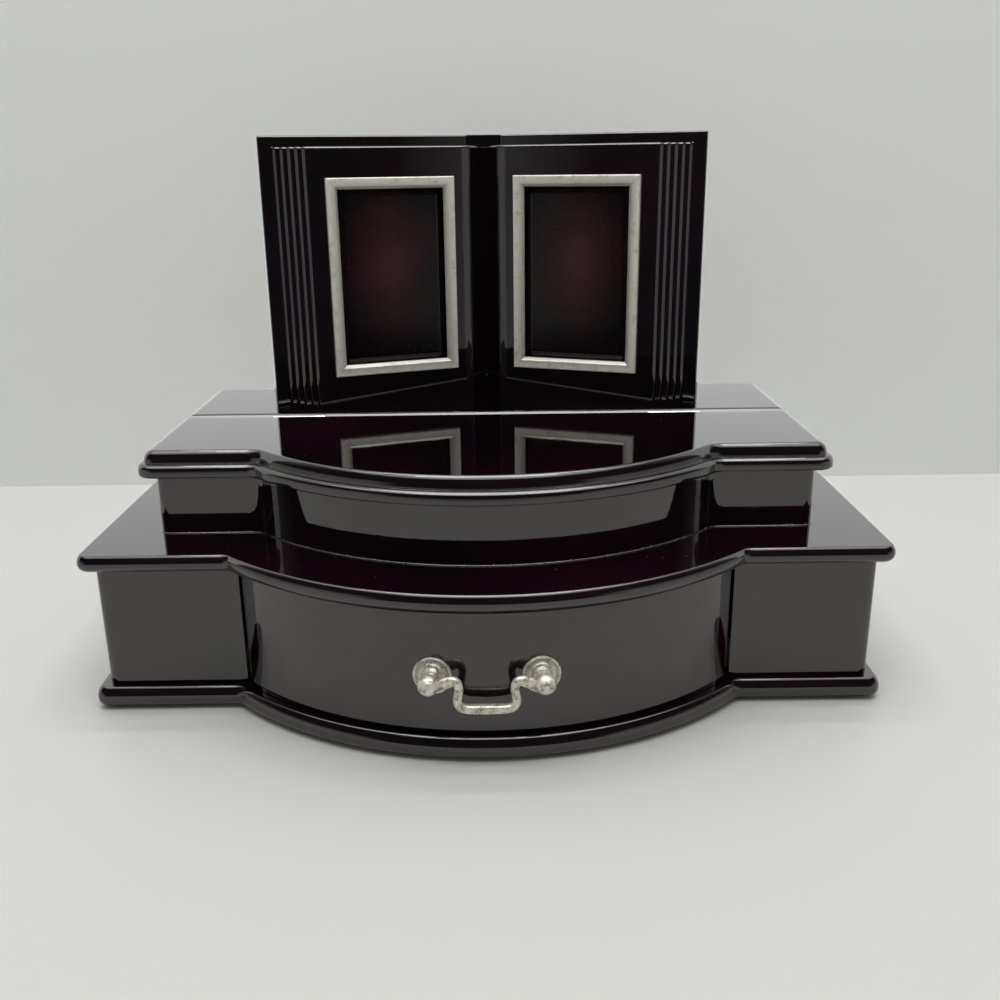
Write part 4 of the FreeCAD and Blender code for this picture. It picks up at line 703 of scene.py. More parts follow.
def makePanels(sizes):
    points, faces = [], []
    wideCells, highCells = sizes["cells"]
    low, high = sizes["along"]
    foot, head = sizes["up"]
    for side in (-1, 1):
        start = len(points)
        for layer in (0, 1):
            for row in range(highCells + 1):
                for column in range(wideCells + 1):
                    u = column / wideCells
                    v = row / highCells
                    deep = sizes["floor"]
                    if layer:
                        deep -= sizes["thick"] + sizes["bow"] * math.sin(math.pi * u) * math.sin(math.pi * v)
                    x, y = onLeaf(low + (high - low) * u, deep)
                    points.append((side * x, y, foot + (head - foot) * v))
        layerSize = (wideCells + 1) * (highCells + 1)
        for row in range(highCells):
            for column in range(wideCells):
                spot = start + row * (wideCells + 1) + column
                quad = (spot, spot + 1, spot + wideCells + 2, spot + wideCells + 1)
                faces.append(quad)
                faces.append([corner + layerSize for corner in quad])
        rim = list(range(start, start + wideCells + 1))
        rim += [start + row * (wideCells + 1) + wideCells for row in range(1, highCells + 1)]
        rim += [start + highCells * (wideCells + 1) + column for column in range(wideCells - 1, -1, -1)]
        rim += [start + row * (wideCells + 1) for row in range(highCells - 1, 0, -1)]
        for first, second in zip(rim, rim[1:] + rim[:1]):
            faces.append((first, second, second + layerSize, first + layerSize))
    panels = addPiece("picturePanels", points, faces, "case", "lacquer")
    # the painted glow and shade follow the panel, so it has its own map
    shape = panels.data
    panelMap = shape.uv_layers.new(name="panelMap")
    for corner in shape.loops:
        spot = shape.vertices[corner.vertex_index].co * 1000
        along = math.hypot(abs(spot.x), spot.y - leafSizes["centre"])
        panelMap.data[corner.index].uv = ((along - low) / (high - low), (spot.z - foot) / (head - foot))
    shape.materials[0] = makePanelLacquer(panelLook)


makePanels(panelSizes)
print("picture panels made")

# velvet and felt linings: soft pads cut to the outline of the board they line
padSizes = {
    "tray_lining": {
        "name": "trayPad", "body": "case", "slot": "velvet", "up": 1, "edge": 1.2, "swell": 0.25,
        "cell": 4.0},
    "drawer_lining": {
        "name": "drawerPad", "body": "drawer", "slot": "velvet", "up": 1, "edge": 1.2, "swell": 0.25,
        "cell": 4.5},
    "lid_lining": {
        "name": "lidPad", "body": "lid", "slot": "velvet", "up": -1, "edge": 1.0, "swell": 0.15, "cell": 4.5},
    "base_felt": {
        "name": "baseFelt", "body": "case", "slot": "felt", "up": -1, "edge": 0.6, "swell": 0.0, "cell": 7.0},
}
padShape = {
    # the rolled edge, from the foot of the side to where the face begins: inwards in edges, share of the rise
    "rolls": [(0.12, 0.0), (0.0, 0.35), (0.08, 0.65), (0.35, 0.88), (1.0, 1.0)],
    "rimGap": 3.0,
    "clear": 0.6,           # cells between the edge and the first points of the face
    "stagger": 0.25,
    "settle": 12.0,         # the swell is full this far from the edge
    "waves": (0.21, 0.13, 0.27),
    "sway": 2.0,
}


def outlineOf(node):
    # the outer loop of the node's upper face, in millimetres
    shape = bmesh.new()
    shape.from_mesh(nodes[node].data)
    bmesh.ops.remove_doubles(shape, verts=shape.verts, dist=1e-6)
    top = max(vert.co.z for vert in shape.verts)
    flat = [face for face in shape.faces if all(abs(vert.co.z - top) < 1e-6 for vert in face.verts)]
    counts = {}
    for face in flat:
        for edge in face.edges:
            counts[edge] = counts.get(edge, 0) + 1
    follow = {}
    for edge, count in counts.items():
        if count == 1:
            for vert in edge.verts:
                follow.setdefault(vert, []).append(edge.other_vert(vert))
    start = next(iter(follow))
    loop = [start]
    before, spot = None, start
    while True:
        onward = [vert for vert in follow[spot] if vert is not before][0]
        if onward is start:
            break
        loop.append(onward)
        before, spot = spot, onward
    line = [Vector((vert.co.x, vert.co.y)) * 1000 for vert in loop]
    shape.free()
    return line


def evenLine(line, gap):
    # the same closed line with its long runs divided
    made = []
    for first, second in zip(line, line[1:] + line[:1]):
        parts = max(1, round((second - first).length / gap))
        made += [first.lerp(second, part / parts) for part in range(parts)]
    return made


def insetLine(line, gap):
    # the closed line moved inwards, by no more than twice the gap at a sharp corner
    area = sum(a.x * b.y - b.x * a.y for a, b in zip(line, line[1:] + line[:1]))
    turn = 1 if area > 0 else -1
    moved = []
    for before, spot, after in zip(line[-1:] + line[:-1], line, line[1:] + line[:1]):
        first = (spot - before).normalized()
        second = (after - spot).normalized()
        middle = Vector((-first.y - second.y, first.x + second.x)).normalized() * turn
        slant = max(0.5, middle.dot(Vector((-first.y, first.x)) * turn))
        moved.append(spot + middle * gap / slant)
    return moved


def makePad(node, sizes, form):
    low, high = boxOf(node)
    rim = evenLine(outlineOf(node), form["rimGap"])
    foot, face = (low.z, high.z) if sizes["up"] > 0 else (high.z, low.z)
    rise = face - foot
    rings = [insetLine(rim, inset * sizes["edge"]) for inset, share in form["rolls"]]
    points = []
    for ring, (inset, share) in zip(rings, form["rolls"]):
        points += [(spot.x, spot.y, foot + rise * share) for spot in ring]
    count = len(rim)
    faces = tubeFaces(len(rings), count)
    # the face, filled with a grid of points that swell a little between the edges
    border = rings[-1]
    cell = sizes["cell"]
    grid = []
    for row in range(int((high.y - low.y) / cell)):
        for column in range(int((high.x - low.x) / cell)):
            across = column + 0.5 + form["stagger"] * (row % 2)
            spot = Vector((low.x + across * cell, low.y + (row + 0.5) * cell))
            if min((spot - corner).length for corner in border) > form["clear"] * cell:
                grid.append(spot)
    edges = [(index, (index + 1) % count) for index in range(count)]
    spots, _, fill, sources, *_ = geometry.delaunay_2d_cdt(border + grid, edges, [range(count)], 1, 1e-4)
    start = len(points)
    first, second, third = form["waves"]
    for spot, source in zip(spots, sources):
        away = 0.0
        if source and source[0] >= count:
            away = min(1.0, min((spot - corner).length for corner in border) / form["settle"])
        wave = math.sin(spot.x * first + form["sway"] * math.sin(spot.y * second)) * math.sin(spot.y * third)
        ripple = 0.5 + 0.5 * wave
        points.append((spot.x, spot.y, face - sizes["up"] * sizes["swell"] * away * ripple))
    faces += [[start + corner for corner in triangle] for triangle in fill]
    faces.append(list(range(count)))
    pad = addPiece(sizes["name"], points, faces, sizes["body"], sizes["slot"], node)


for node, sizes in padSizes.items():
    makePad(node, sizes, padShape)
print("linings made")

# page blocks of the open book: bevelled page edges and a wider gutter than on the plain solids
pageSizes = {
    "thick": 9.0,
    "spineHalf": 7.1,
    "reach": 91.756,        # from the middle of the spine to the lowest page edge
    "steps": 5,
    "pitch": 2.7,
    "noseRadius": 3.9,      # each page edge falls in a shallow round
    "noseTurn": (38.0, 66.0),   # its slope, first and last
    "noseSteps": 14,
    "gutterWide": 13.4,     # the page starts to fall this far from the middle
    "gutterRadius": 11.6,
    "gutterTurn": 33.0,     # the slope it reaches, and keeps down to the gap
    "gutterGap": 0.1,
    "gutterSteps": 30,
    "topRound": 1.0,
    "topSteps": 8,
    "hold": 0.06,           # a narrow strip beside each round keeps the flats flat
    "recess": 2.5,
    "sharp": 30.0,          # edges that turn more than this stay crisp
}


def pageOutline(sizes):
    # the right block seen from above, in the leaf's own frame, from the gutter round to the lowest page edge
    thick, steps, hold = sizes["thick"], sizes["steps"], sizes["hold"]
    wide, radius, parts = sizes["gutterWide"], sizes["gutterRadius"], sizes["gutterSteps"]
    turn = math.radians(sizes["gutterTurn"])
    riser = thick / steps
    start = wide - radius * math.sin(turn)
    floor = radius - thick - radius * math.cos(turn)
    line = []
    for step in range(parts):
        share = step / parts
        line.append((start * share, floor + start * (1 - share) * math.tan(turn)))
    for step in range(parts + 1):
        bend = turn * (1 - step / parts)
        line.append((wide - radius * math.sin(bend), radius - thick - radius * math.cos(bend)))
    line += [(wide + hold, -thick)] + [(along, -thick) for along in panelSizes["along"]]
    first, last = (math.radians(angle) for angle in sizes["noseTurn"])
    nose = sizes["noseRadius"]
    across = nose * (math.sin(last) - math.sin(first))
    for index in range(steps - 1, -1, -1):
        edge = sizes["reach"] - index * sizes["pitch"]
        level = -(index + 1) * riser
        line.append((edge - across - hold, level))
        for step in range(sizes["noseSteps"] + 1):
            bend = first + (last - first) * step / sizes["noseSteps"]
            along = edge - across + nose * (math.sin(bend) - math.sin(first))
            line.append((along, level + nose * (math.cos(first) - math.cos(bend))))
        line.append((edge, level + riser))
    return line


def makePages(sizes):
    low, high = boxOf("book_right_pages")
    windowLow, windowHigh = panelSizes["up"]
    windowSides = panelSizes["along"]
    topRound, hold = sizes["topRound"], sizes["hold"]
    front = [Vector(onLeaf(*spot)) for spot in pageOutline(sizes)]
    front = [spot for spot in front if spot.x > sizes["gutterGap"]]
    spine = Vector(onLeaf(sizes["spineHalf"] / math.cos(math.radians(leafSizes["angle"])), 0))
    outline = front + [spine, Vector((sizes["gutterGap"], spine.y))]
    count = len(outline)
    levels = [(0.0, low.z), (0.0, windowLow), (0.0, windowHigh), (0.0, high.z - topRound - hold)]
    for step in range(sizes["topSteps"] + 1):
        bend = math.pi / 2 * step / sizes["topSteps"]
        levels.append((topRound * (1 - math.cos(bend)), high.z - topRound + topRound * math.sin(bend)))
    levels.append((topRound + hold, high.z))
    points = []
    for inset, height in levels:
        moved = insetLine(outline, inset)
        # the block stays square against the spine and the cover
        kept = moved[:len(front) - 1] + outline[len(front) - 1:]
        points += [(spot.x, spot.y, height) for spot in kept]
    corner = Vector(onLeaf(windowSides[0], -sizes["thick"]))
    opening = count + min(range(len(front)), key=lambda index: (front[index] - corner).length)
    faces = [face for face in tubeFaces(len(levels), count) if face[0] != opening]
    faces += endFaces(len(levels), count)
    # the picture recess
    rim = [opening, opening + 1, opening + 1 + count, opening + count]
    floor = []
    for corner, along in zip(rim, (*windowSides, *windowSides[::-1])):
        x, y = onLeaf(along, sizes["recess"] - sizes["thick"])
        floor.append(len(points))
        points.append((x, y, points[corner][2]))
    for first in range(4):
        second = (first + 1) % 4
        faces.append((rim[first], rim[second], floor[second], floor[first]))
    faces.append(floor)
    for name, side, node in (("leftPages", -1, "book_left_pages"), ("rightPages", 1, "book_right_pages")):
        block = addPiece(name, [(side * x, y, z) for x, y, z in points], faces, "case", "lacquer", node)
        block.data.set_sharp_from_angle(angle=math.radians(sizes["sharp"]))


makePages(pageSizes)
print("pages made")


# a geometry tree with named inputs, set on a carrier object and turned into a plain mesh
def newTree(name, **inputs):
    tree = bpy.data.node_groups.new(name, "GeometryNodeTree")
    kinds = {float: "NodeSocketFloat", int: "NodeSocketInt", tuple: "NodeSocketVector"}
    sockets = {}
    for label, value in inputs.items():
        kind = kinds.get(type(value), "NodeSocketObject")
        sockets[label] = tree.interface.new_socket(label, in_out="INPUT", socket_type=kind)
    tree.interface.new_socket("Geometry", in_out="OUTPUT", socket_type="NodeSocketGeometry")
    entry = addNode(tree, "NodeGroupInput")
    return tree, entry.outputs, {socket.identifier: inputs[label] for label, socket in sockets.items()}


def endTree(tree, instances, material):
    real = addNode(tree, "GeometryNodeRealizeInstances", {"Geometry": instances})
    coat = addNode(tree, "GeometryNodeSetMaterial", {"Geometry": real.outputs[0], "Material": material})
    end = addNode(tree, "NodeGroupOutput")
    tree.links.new(coat.outputs[0], end.inputs[0])


def growTree(name, tree, values):
    carrier = bpy.data.objects.new(name, bpy.data.meshes.new(name + "Seed"))
    bpy.context.scene.collection.objects.link(carrier)
    modifier = carrier.modifiers.new("grow", "NODES")
    modifier.node_group = tree
    for identifier, value in values.items():
        modifier[identifier] = value
    bpy.context.view_layer.update()
    grown = carrier.evaluated_get(bpy.context.evaluated_depsgraph_get())
    mesh = bpy.data.meshes.new_from_object(grown)
    carrier.modifiers.clear()
    carrier.data = mesh
    mesh.name = name
    return carrier


def seedObject(name, points, edges, faces):
    mesh = bpy.data.meshes.new(name)
    mesh.from_pydata([Vector(point) / 1000 for point in points], edges, faces)
    return bpy.data.objects.new(name, mesh)


# ring rolls: plump rolls of velvet, side by side across the tray
rollSizes = {
    "count": 6,
    "pitch": 9.2,
    "firstPlace": 2.5,
    "axisHeight": 67.1,
    "floor": 64.02,
    "radius": 4.45,
    "half": 43.0,
    "endRound": 3.2,        # length over which an end closes
    "endShare": 0.04,       # what is left of the radius there
    "waist": 0.06,          # how far the velvet draws in at the tucks
    "tucks": 9,
    "tuckPower": 6,
    "pucker": 0.05,
    "puckers": 9,
    "rings": 90,
    "around": 36,
}


def makeRolls(sizes):
    half, around = sizes["half"], sizes["around"]
    points = []
    for ring in range(sizes["rings"] + 1):
        # rings crowd towards the ends
        across = -half * math.cos(math.pi * ring / sizes["rings"])
        left = half - abs(across)
        close = math.sqrt(max(0.0, 1 - max(0.0, 1 - left / sizes["endRound"]) ** 2))
        drawn = 0.5 + 0.5 * math.cos(math.pi * across / half * sizes["tucks"])
        tuck = 1 - sizes["waist"] * drawn ** sizes["tuckPower"]
        for step in range(around):
            turn = 2 * math.pi * step / around
            pucker = 1 + sizes["pucker"] * (1 - close) * math.cos(turn * sizes["puckers"])
            reach = sizes["radius"] * max(close, sizes["endShare"]) * tuck * pucker
            up = sizes["axisHeight"] + reach * math.sin(turn)
            points.append((across, reach * math.cos(turn), max(up, sizes["floor"])))
    first, last = endFaces(sizes["rings"] + 1, around)
    faces = tubeFaces(sizes["rings"] + 1, around) + [first[::-1], last]
    seed = seedObject("rollSeed", points, [], faces)
    tree, given, values = newTree(
        "ringRolls", Count=sizes["count"], Start=(0.0, sizes["firstPlace"] / 1000, 0.0),
        Pitch=(0.0, -sizes["pitch"] / 1000, 0.0), Roll=seed)
    line = addNode(tree, "GeometryNodeMeshLine", {
        "Count": given["Count"], "Start Location": given["Start"], "Offset": given["Pitch"]}, mode="OFFSET")
    shape = addNode(tree, "GeometryNodeObjectInfo", {"Object": given["Roll"]})
    rows = addNode(tree, "GeometryNodeInstanceOnPoints", {
        "Points": line.outputs["Mesh"], "Instance": shape.outputs["Geometry"]})
    endTree(tree, rows.outputs[0], velvet)
    rolls = growTree("ringRolls", tree, values)
    bpy.data.objects.remove(seed)
    dress(rolls, "case", "velvet", "ring_rolls")


makeRolls(rollSizes)
print("ring rolls made")

# velvet-covered dividers, sewn along the top
dividerSizes = {
    "thick": 3.0,
    "slack": 0.05,          # the velvet stays this far inside the board's space
    "belly": 0.02,
    "round": 1.1,
    "roundSteps": 10,
    "dimple": 0.045,        # how far the velvet draws in between the swells
    "swells": 7,
    "rows": 40,
    "stitchGap": 2.4,
    "stitchLong": 1.5,
    "stitchThick": 0.22,
    "stitchRise": 0.02,
    "stitchInset": 2.0,
    "stitchSides": (8, 6),
}


def makeDividers(sizes):
    low, high = boxOf("tray_dividers")
    thick, slack = sizes["thick"], sizes["slack"]
    half = thick / 2 - slack
    shoulder = high.z - sizes["round"]
    # a round-topped section, carried from front to back
    section = [(-half, low.z), (-half - sizes["belly"], (low.z + high.z) / 2), (-half, shoulder)]
    for step in range(1, sizes["roundSteps"]):
        turn = math.pi * step / sizes["roundSteps"]
        section.append((-half * math.cos(turn), shoulder + sizes["round"] * math.sin(turn)))
    section += [(half, shoulder), (half + sizes["belly"], (low.z + high.z) / 2), (half, low.z)]
    around, rings = len(section), sizes["rows"] + 1
    points, faces = [], []
    for middle in (low.x + thick / 2, high.x - thick / 2):
        start = len(points)
        for row in range(rings):
            share = row / sizes["rows"]
            place = low.y + slack + (high.y - low.y - 2 * slack) * share
            drawn = sizes["dimple"] * math.sin(share * math.pi * sizes["swells"]) ** 2
            for across, up in section:
                points.append((middle + across * (1 - drawn / half), place, up - drawn * (up > shoulder)))
        faces += tubeFaces(rings, around, start) + endFaces(rings, around, start)
    dividers = addPiece("trayDividers", points, faces, "case", "velvet", "tray_dividers")


def makeStitches(sizes):
    low, high = boxOf("tray_dividers")
    thick, inset = sizes["thick"], sizes["stitchInset"]
    tree, given, values = newTree(
        "dividerStitches", Count=int((high.y - low.y - 2 * inset) / sizes["stitchGap"]),
        Gap=(0.0, sizes["stitchGap"] / 1000, 0.0),
        Start=((low.x + thick / 2) / 1000, (low.y + inset) / 1000, (high.z + sizes["stitchRise"]) / 1000),
        Span=((high.x - low.x - thick) / 1000, 0.0, 0.0), Length=sizes["stitchLong"] / 1000,
        Thickness=sizes["stitchThick"] / 1000)
    line = addNode(tree, "GeometryNodeMeshLine", {
        "Count": given["Count"], "Start Location": given["Start"], "Offset": given["Gap"]}, mode="OFFSET")
    second = addNode(tree, "GeometryNodeTransform", {
        "Geometry": line.outputs["Mesh"], "Translation": given["Span"]})
    both = addNode(tree, "GeometryNodeJoinGeometry")
    tree.links.new(line.outputs["Mesh"], both.inputs[0])
    tree.links.new(second.outputs[0], both.inputs[0])
    segments, rings = sizes["stitchSides"]
    bead = addNode(tree, "GeometryNodeMeshUVSphere", {"Segments": segments, "Rings": rings, "Radius": 0.5})
    shape = addNode(tree, "ShaderNodeCombineXYZ", {
        "X": given["Thickness"], "Y": given["Length"], "Z": given["Thickness"]})
    rows = addNode(tree, "GeometryNodeInstanceOnPoints", {
        "Points": both.outputs[0], "Instance": bead.outputs["Mesh"], "Scale": shape.outputs[0]})
    endTree(tree, rows.outputs[0], velvet)
    dress(growTree("dividerStitches", tree, values), "case", "velvet")


makeDividers(dividerSizes)
makeStitches(dividerSizes)
print("dividers made")

# looking glass in the lid, its edge ground to a slope
glassSizes = {
    "slope": 3.0,
    "slopeDrop": 0.9,
    "arris": (0.3, 0.02),   # the little step where the slope meets the flat, inwards and up
    "corner": 2.0,
    "cornerLeast": 0.2,
    "cornerShrink": 0.3,
    "steps": 6,
}


def roundedSquare(low, high, inset, sizes):
    radius = max(sizes["cornerLeast"], sizes["corner"] - inset * sizes["cornerShrink"])
    line = []
    for index, (sx, sy) in enumerate(((1, 1), (-1, 1), (-1, -1), (1, -1))):
        x = high.x if sx > 0 else low.x
        y = high.y if sy > 0 else low.y
        centre = Vector((x - sx * (inset + radius), y - sy * (inset + radius)))
        for step in range(sizes["steps"] + 1):
            turn = math.pi / 2 * (index + step / sizes["steps"])
            line.append(centre + Vector((math.cos(turn), math.sin(turn))) * radius)
    return line


def makeGlass(sizes):
    low, high = boxOf("lid_mirror")
    inwards, upwards = sizes["arris"]
    levels = [
        (0.0, high.z), (0.0, low.z + sizes["slopeDrop"]), (sizes["slope"], low.z + upwards),
        (sizes["slope"] + inwards, low.z)]
    points = []
    for inset, height in levels:
        line = roundedSquare(low, high, inset, sizes)
        points += [(spot.x, spot.y, height) for spot in line]
    faces = tubeFaces(len(levels), len(line)) + endFaces(len(levels), len(line))
    glass = addPiece("lidGlass", points, faces, "lid", "mirror", "lid_mirror")
    glass.data.shade_flat()


makeGlass(glassSizes)
print("looking glass made")

# lacquer bead and lint along the foot of the upper box
footSizes = {
    "parts": 8,             # each run of the path is divided into these
    "radius": 0.42,
    "around": 10,
    "sunk": 0.12,           # how far the bead's middle stands out from the wall
    "lintGap": 1.1,         # mean gap between the places for lint
    "lintSize": 0.24,
    "lintShare": 0.42,      # share of the places that hold a bit
    "lintSeed": 7,
    "lintStray": ((-0.0005, -0.0005, 0.0001), (0.0005, 0.0005, 0.0005)),
    "lintShape": ((0.5, 0.5, 0.4), (1.8, 1.8, 1.0)),
    "lintTurn": ((0.0, 0.0, 0.0), (0.4, 0.4, 6.28)),
}
lintLook = {
    "mottle": {"cells": 900},
    "tone": ((0.35, (0.20, 0.165, 0.12)), (0.65, (0.62, 0.58, 0.50))),
    "rough": 0.9,
}


def footPath(sizes):
    # round the outside of the walls, from the back left to the back right
    low, high = boxOf("upper_left_side")
    loop = outlineOf("upper_front_wall")
    first = min(range(len(loop)), key=lambda index: (round(loop[index].x, 2), loop[index].y))
    loop = loop[first:] + loop[:first]
    last = max(range(len(loop)), key=lambda index: (round(loop[index].x, 2), -loop[index].y))
    sides = loop[:last + 1], loop[:1] + loop[:last - 1:-1]
    outer = min(sides, key=lambda side: sum(spot.y for spot in side) / len(side))
    line = [Vector((low.x, high.y)), *outer, Vector((-low.x, high.y))]
    parts = sizes["parts"]
    line = [
        first.lerp(second, part / parts) for first, second in zip(line, line[1:]) for part in range(parts)]
    moved = []
    for before, spot, after in zip(line, line[1:], line[2:]):
        along = (after - before).normalized()
        moved.append(spot + Vector((along.y, -along.x)) * sizes["sunk"])
    edges = [(index, index + 1) for index in range(len(moved) - 1)]
    path = seedObject("footPath", [(spot.x, spot.y, low.z) for spot in moved], edges, [])
    length = sum((after - before).length for before, after in zip(moved, moved[1:]))
    return path, length


def curveOf(tree, path):
    line = addNode(tree, "GeometryNodeObjectInfo", {"Object": path})
    return addNode(tree, "GeometryNodeMeshToCurve", {"Mesh": line.outputs["Geometry"]}).outputs[0]


def makeFootBead(sizes, path):
    tree, given, values = newTree("footBead", Path=path, Radius=sizes["radius"] / 1000)
    curve = curveOf(tree, given["Path"])
    ring = addNode(tree, "GeometryNodeCurvePrimitiveCircle", {
        "Resolution": sizes["around"], "Radius": given["Radius"]})
    bead = addNode(tree, "GeometryNodeCurveToMesh", {
        "Curve": curve, "Profile Curve": ring.outputs[0], "Fill Caps": True})
    endTree(tree, bead.outputs[0], lacquer)
    dress(growTree("footBead", tree, values), "case", "lacquer")


def makeLintLook(look):
    material, tree, shader = newMaterial("lint", Roughness=look["rough"])
    wire(tree, shader, Base_Color=ramp(tree, noise(tree, **look["mottle"]), *look["tone"]))
    return material


def randomVector(tree, limits, seed):
    made = addNode(tree, "FunctionNodeRandomValue", {
        0: limits[0], 1: limits[1], "Seed": seed}, data_type="FLOAT_VECTOR")
    return made.outputs[0]


def makeLint(sizes, path, length, material):
    tree, given, values = newTree(
        "footLint", Path=path, Count=int(length / sizes["lintGap"]), Size=sizes["lintSize"] / 1000,
        Share=sizes["lintShare"], Seed=sizes["lintSeed"])
    curve = curveOf(tree, given["Path"])
    spots = addNode(tree, "GeometryNodeCurveToPoints", {
        "Curve": curve, "Count": given["Count"]}, mode="COUNT")
    stray, shape, turn = (
        randomVector(tree, sizes[label], given["Seed"]) for label in ("lintStray", "lintShape", "lintTurn"))
    strewn = addNode(tree, "GeometryNodeSetPosition", {"Geometry": spots.outputs[0], "Offset": stray})
    crumb = addNode(tree, "GeometryNodeMeshIcoSphere", {"Radius": given["Size"], "Subdivisions": 1})
    kept = addNode(tree, "FunctionNodeRandomValue", {
        "Probability": given["Share"], "Seed": given["Seed"]}, data_type="BOOLEAN")
    bits = addNode(tree, "GeometryNodeInstanceOnPoints", {
        "Points": strewn.outputs[0], "Selection": kept.outputs[3], "Instance": crumb.outputs[0],
        "Rotation": turn, "Scale": shape})
    endTree(tree, bits.outputs[0], material)
    lint = dress(growTree("footLint", tree, values), "case", "bare_wood")
    lint.data.materials[0] = material


footLine, footLength = footPath(footSizes)
makeFootBead(footSizes, footLine)
makeLint(footSizes, footLine, footLength, makeLintLook(lintLook))
bpy.data.objects.remove(footLine)
print("foot bead and lint made")

# stage: a pale table before a pale wall, under a row of light tubes, in a room that is dim in front
stageLook = {
    "table": (0.735, 0.737, 0.705),
    "tableRough": 0.5,
    "wall": (0.93, 0.94, 0.92),
    "wallRough": 0.8,
    "half": 3.0,
    "wallPlace": 0.223,
    "wallHeight": 3.0,
    "tableFront": (-0.47, -0.33),   # reflections see the table end between these
    "farTable": (0.45, 1.3),    # the lights fade out between these
    "paleTable": 0.62,
    "tint": (1.0, 1.0, 0.985),
    "fill": 0.27,           # light from the whole room
    "pale": 0.80,           # the room as the camera sees it
    "dim": 0.035,           # the front of the room in reflections
    "dimTint": (0.85, 1.0, 1.15),
    "bright": 1.12,         # the back of the room in reflections
    "brightRise": 0.6,      # it reaches forwards with height, and less far aside
    "brightNarrow": 0.3,
    "brightSpread": (-0.15, 0.75),
    "ceiling": (-0.42, 0.50),   # middle and half width of the lit ceiling, as a slope from straight up
    "ceilingHeight": (0.66, 0.8),
    "ceilingLight": 6.0,
    "stripes": 34.0,
    "stripeEdge": (-0.2, 0.6),
    "leastHeight": 0.05,
    "sides": 0.50,          # its sides in reflections, up to a low angle
    "sideSpread": (0.56, 0.72),     # how far aside a reflection has to point
    "sideHeight": (0.04, 0.22),     # and how low
}


def stagePlate(name, corners, material):
    mesh = bpy.data.meshes.new(name)
    mesh.from_pydata(corners, [], [range(len(corners))])
    plate = bpy.data.objects.new(name, mesh)
    bpy.context.scene.collection.objects.link(plate)
    plate.data.materials.append(material)


def mixShader(tree, factor, first, second):
    made = addNode(tree, "ShaderNodeMixShader")
    for socket, source in zip(made.inputs, (factor, first, second)):
        tree.links.new(source, socket)
    return made.outputs[0]


def glow(tree, colour):
    return addNode(tree, "ShaderNodeEmission", {"Color": colour}).outputs[0]


def makeTable(look):
    material, tree, shader = newMaterial(
        "paleTable", Roughness=look["tableRough"], Base_Color=(*look["table"], 1))
    rays = addNode(tree, "ShaderNodeLightPath")
    spot = objectPlace(tree)
    place = addNode(tree, "ShaderNodeSeparateXYZ", {"Vector": spot})
    beyond = spread(tree, place.outputs["Y"], 1.0, 0.0, *look["tableFront"])
    hidden = calc(tree, "MULTIPLY", beyond, rays.outputs["Is Glossy Ray"])
    away = addNode(tree, "ShaderNodeVectorMath", {0: spot}, operation="LENGTH").outputs["Value"]
    slant = calc(tree, "DIVIDE", calc(tree, "ABSOLUTE", place.outputs["X"]), away)
    front = [part * look["dim"] for part in look["dimTint"]]
    shade = mixColour(tree, spread(tree, slant, 0.0, 1.0, *look["sideSpread"]), front, [look["sides"]] * 3)
    surface = mixShader(tree, hidden, shader.outputs[0], glow(tree, shade))
    # far from the lights the camera still sees a pale table
    far = spread(tree, away, 0.0, 1.0, *look["farTable"])
    seen = calc(tree, "MULTIPLY", far, rays.outputs["Is Camera Ray"])
    surface = mixShader(tree, seen, surface, glow(tree, (*[look["paleTable"]] * 3, 1)))
    tree.links.new(surface, tree.nodes["Material Output"].inputs["Surface"])
    return material


def makeWall(look):
    material, tree, shader = newMaterial(
        "paleWall", Roughness=look["wallRough"], Base_Color=(*look["wall"], 1))
    rays = addNode(tree, "ShaderNodeLightPath")
    shown = mixShader(
        tree, rays.outputs["Is Glossy Ray"], shader.outputs[0], glow(tree, (*[look["bright"]] * 3, 1)))
    # it shows from the front only, so that the back of the box can be looked at
    side = addNode(tree, "ShaderNodeNewGeometry")
    clear = addNode(tree, "ShaderNodeBsdfTransparent")
    surface = mixShader(tree, side.outputs["Backfacing"], shown, clear.outputs[0])
    tree.links.new(surface, tree.nodes["Material Output"].inputs["Surface"])
    return material


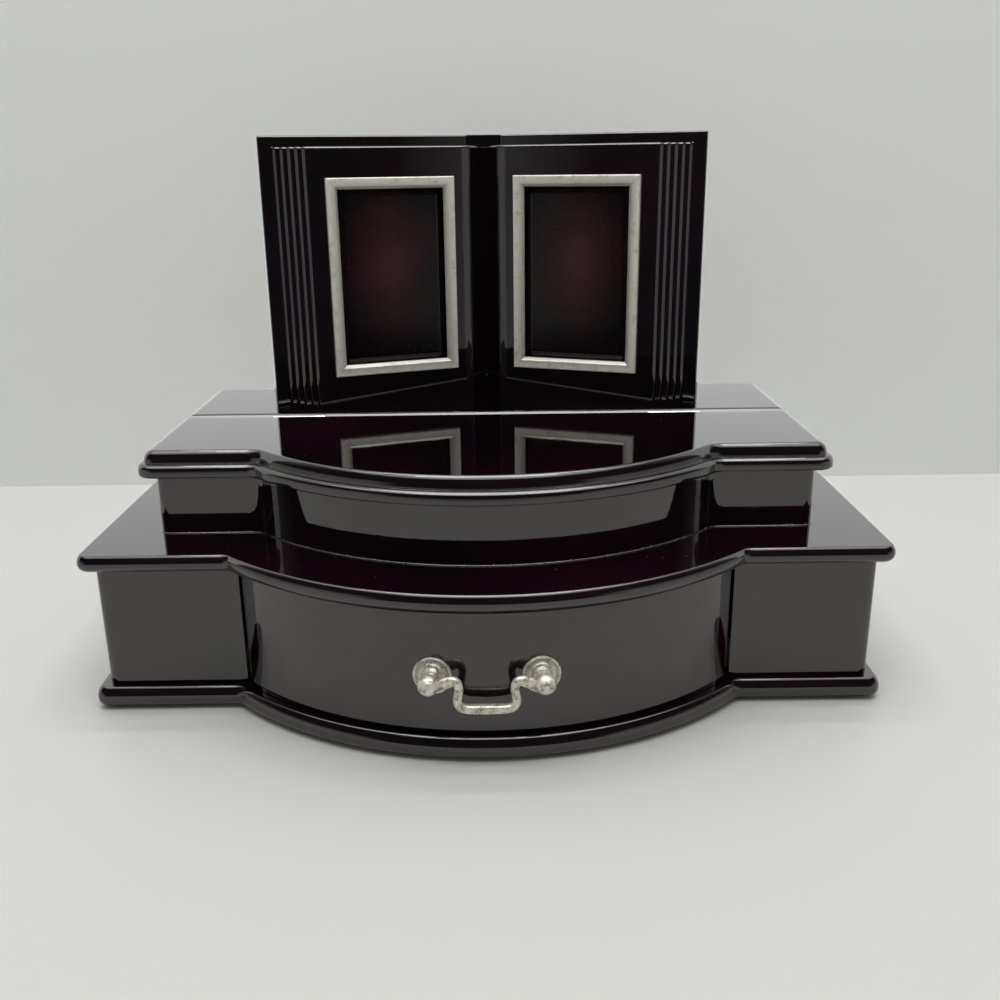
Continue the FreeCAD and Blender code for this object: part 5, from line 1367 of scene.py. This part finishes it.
def makeRoom(look):
    world = bpy.data.worlds.new("paleRoom")
    world.use_nodes = True
    tree = world.node_tree
    background = tree.nodes["Background"]
    background.inputs["Color"].default_value = (*look["tint"], 1)
    rays = addNode(tree, "ShaderNodeLightPath")
    coords = addNode(tree, "ShaderNodeTexCoord")
    toward = addNode(tree, "ShaderNodeSeparateXYZ", {"Vector": coords.outputs["Generated"]}).outputs
    across = calc(tree, "ABSOLUTE", toward["X"])
    behind = calc(tree, "ADD", toward["Y"], calc(tree, "MULTIPLY", toward["Z"], look["brightRise"]))
    behind = calc(tree, "SUBTRACT", behind, calc(tree, "MULTIPLY", across, look["brightNarrow"]))
    behind = spread(tree, behind, look["dim"], look["bright"], *look["brightSpread"])
    aside = spread(tree, across, 0.0, look["sides"], *look["sideSpread"])
    aside = calc(tree, "MULTIPLY", aside, spread(tree, toward["Z"], 1.0, 0.0, *look["sideHeight"]))
    # a striped ceiling, seen in reflections alone
    slope = calc(tree, "DIVIDE", toward["Y"], calc(tree, "MAXIMUM", toward["Z"], look["leastHeight"]))
    stripe = calc(tree, "SINE", calc(tree, "MULTIPLY", slope, look["stripes"]))
    reach = calc(tree, "COMPARE", slope, *look["ceiling"])
    reach = calc(tree, "MULTIPLY", reach, spread(tree, toward["Z"], 0.0, 1.0, *look["ceilingHeight"]))
    lit = spread(tree, stripe, 0.0, look["ceilingLight"], *look["stripeEdge"])
    mirrored = calc(tree, "ADD", calc(tree, "MAXIMUM", aside, behind), calc(tree, "MULTIPLY", lit, reach))
    seen = calc(tree, "MULTIPLY", rays.outputs["Is Camera Ray"], look["pale"] - look["fill"])
    level = calc(tree, "ADD", look["fill"], seen)
    gloss = calc(tree, "MAXIMUM", rays.outputs["Is Glossy Ray"], rays.outputs["Is Transmission Ray"])
    kept = calc(tree, "MULTIPLY", level, calc(tree, "SUBTRACT", 1.0, gloss))
    strength = calc(tree, "ADD", kept, calc(tree, "MULTIPLY", mirrored, gloss))
    tree.links.new(strength, background.inputs["Strength"])
    return world


half, back, high = stageLook["half"], stageLook["wallPlace"], stageLook["wallHeight"]
stagePlate(
    "table", [(-half, -half, 0), (half, -half, 0), (half, half, 0), (-half, half, 0)], makeTable(stageLook))
stagePlate(
    "wall", [(-half, back, 0), (half, back, 0), (half, back, high), (-half, back, high)], makeWall(stageLook))
bpy.context.scene.world = makeRoom(stageLook)

lightTubes = {
    "across": 0.85, "wide": 0.05, "height": 1.0, "first": -0.54, "gap": 0.175, "count": 5, "power": 1.38}
for index in range(lightTubes["count"]):
    tube = bpy.data.lights.new(f"tube{index}", "AREA")
    tube.shape = "RECTANGLE"
    tube.size = lightTubes["across"]
    tube.size_y = lightTubes["wide"]
    tube.energy = lightTubes["power"]
    holder = bpy.data.objects.new(f"tube{index}", tube)
    bpy.context.scene.collection.objects.link(holder)
    holder.location = (0, lightTubes["first"] + lightTubes["gap"] * index, lightTubes["height"])

# camera, where the photograph was taken from
cameraShot = {
    "place": (0.0046, -0.420, 0.1966),
    "turns": ((-0.1, "Z"), (-18.1, "X"), (0.7, "Y"), (90.0, "X")),
    "lens": 37.19,
    "sensor": 36.0,
    "nearest": 0.01,
}
shot = bpy.data.cameras.new("shot")
shot.lens = cameraShot["lens"]
shot.sensor_width = cameraShot["sensor"]
shot.clip_start = cameraShot["nearest"]
camera = bpy.data.objects.new("shot", shot)
bpy.context.scene.collection.objects.link(camera)
turned = Matrix.Translation(cameraShot["place"])
for angle, axis in cameraShot["turns"]:
    turned = turned @ Matrix.Rotation(math.radians(angle), 4, axis)
camera.matrix_world = turned
bpy.context.scene.camera = camera
bpy.context.scene.view_settings.view_transform = "Standard"
print("stage and camera set")
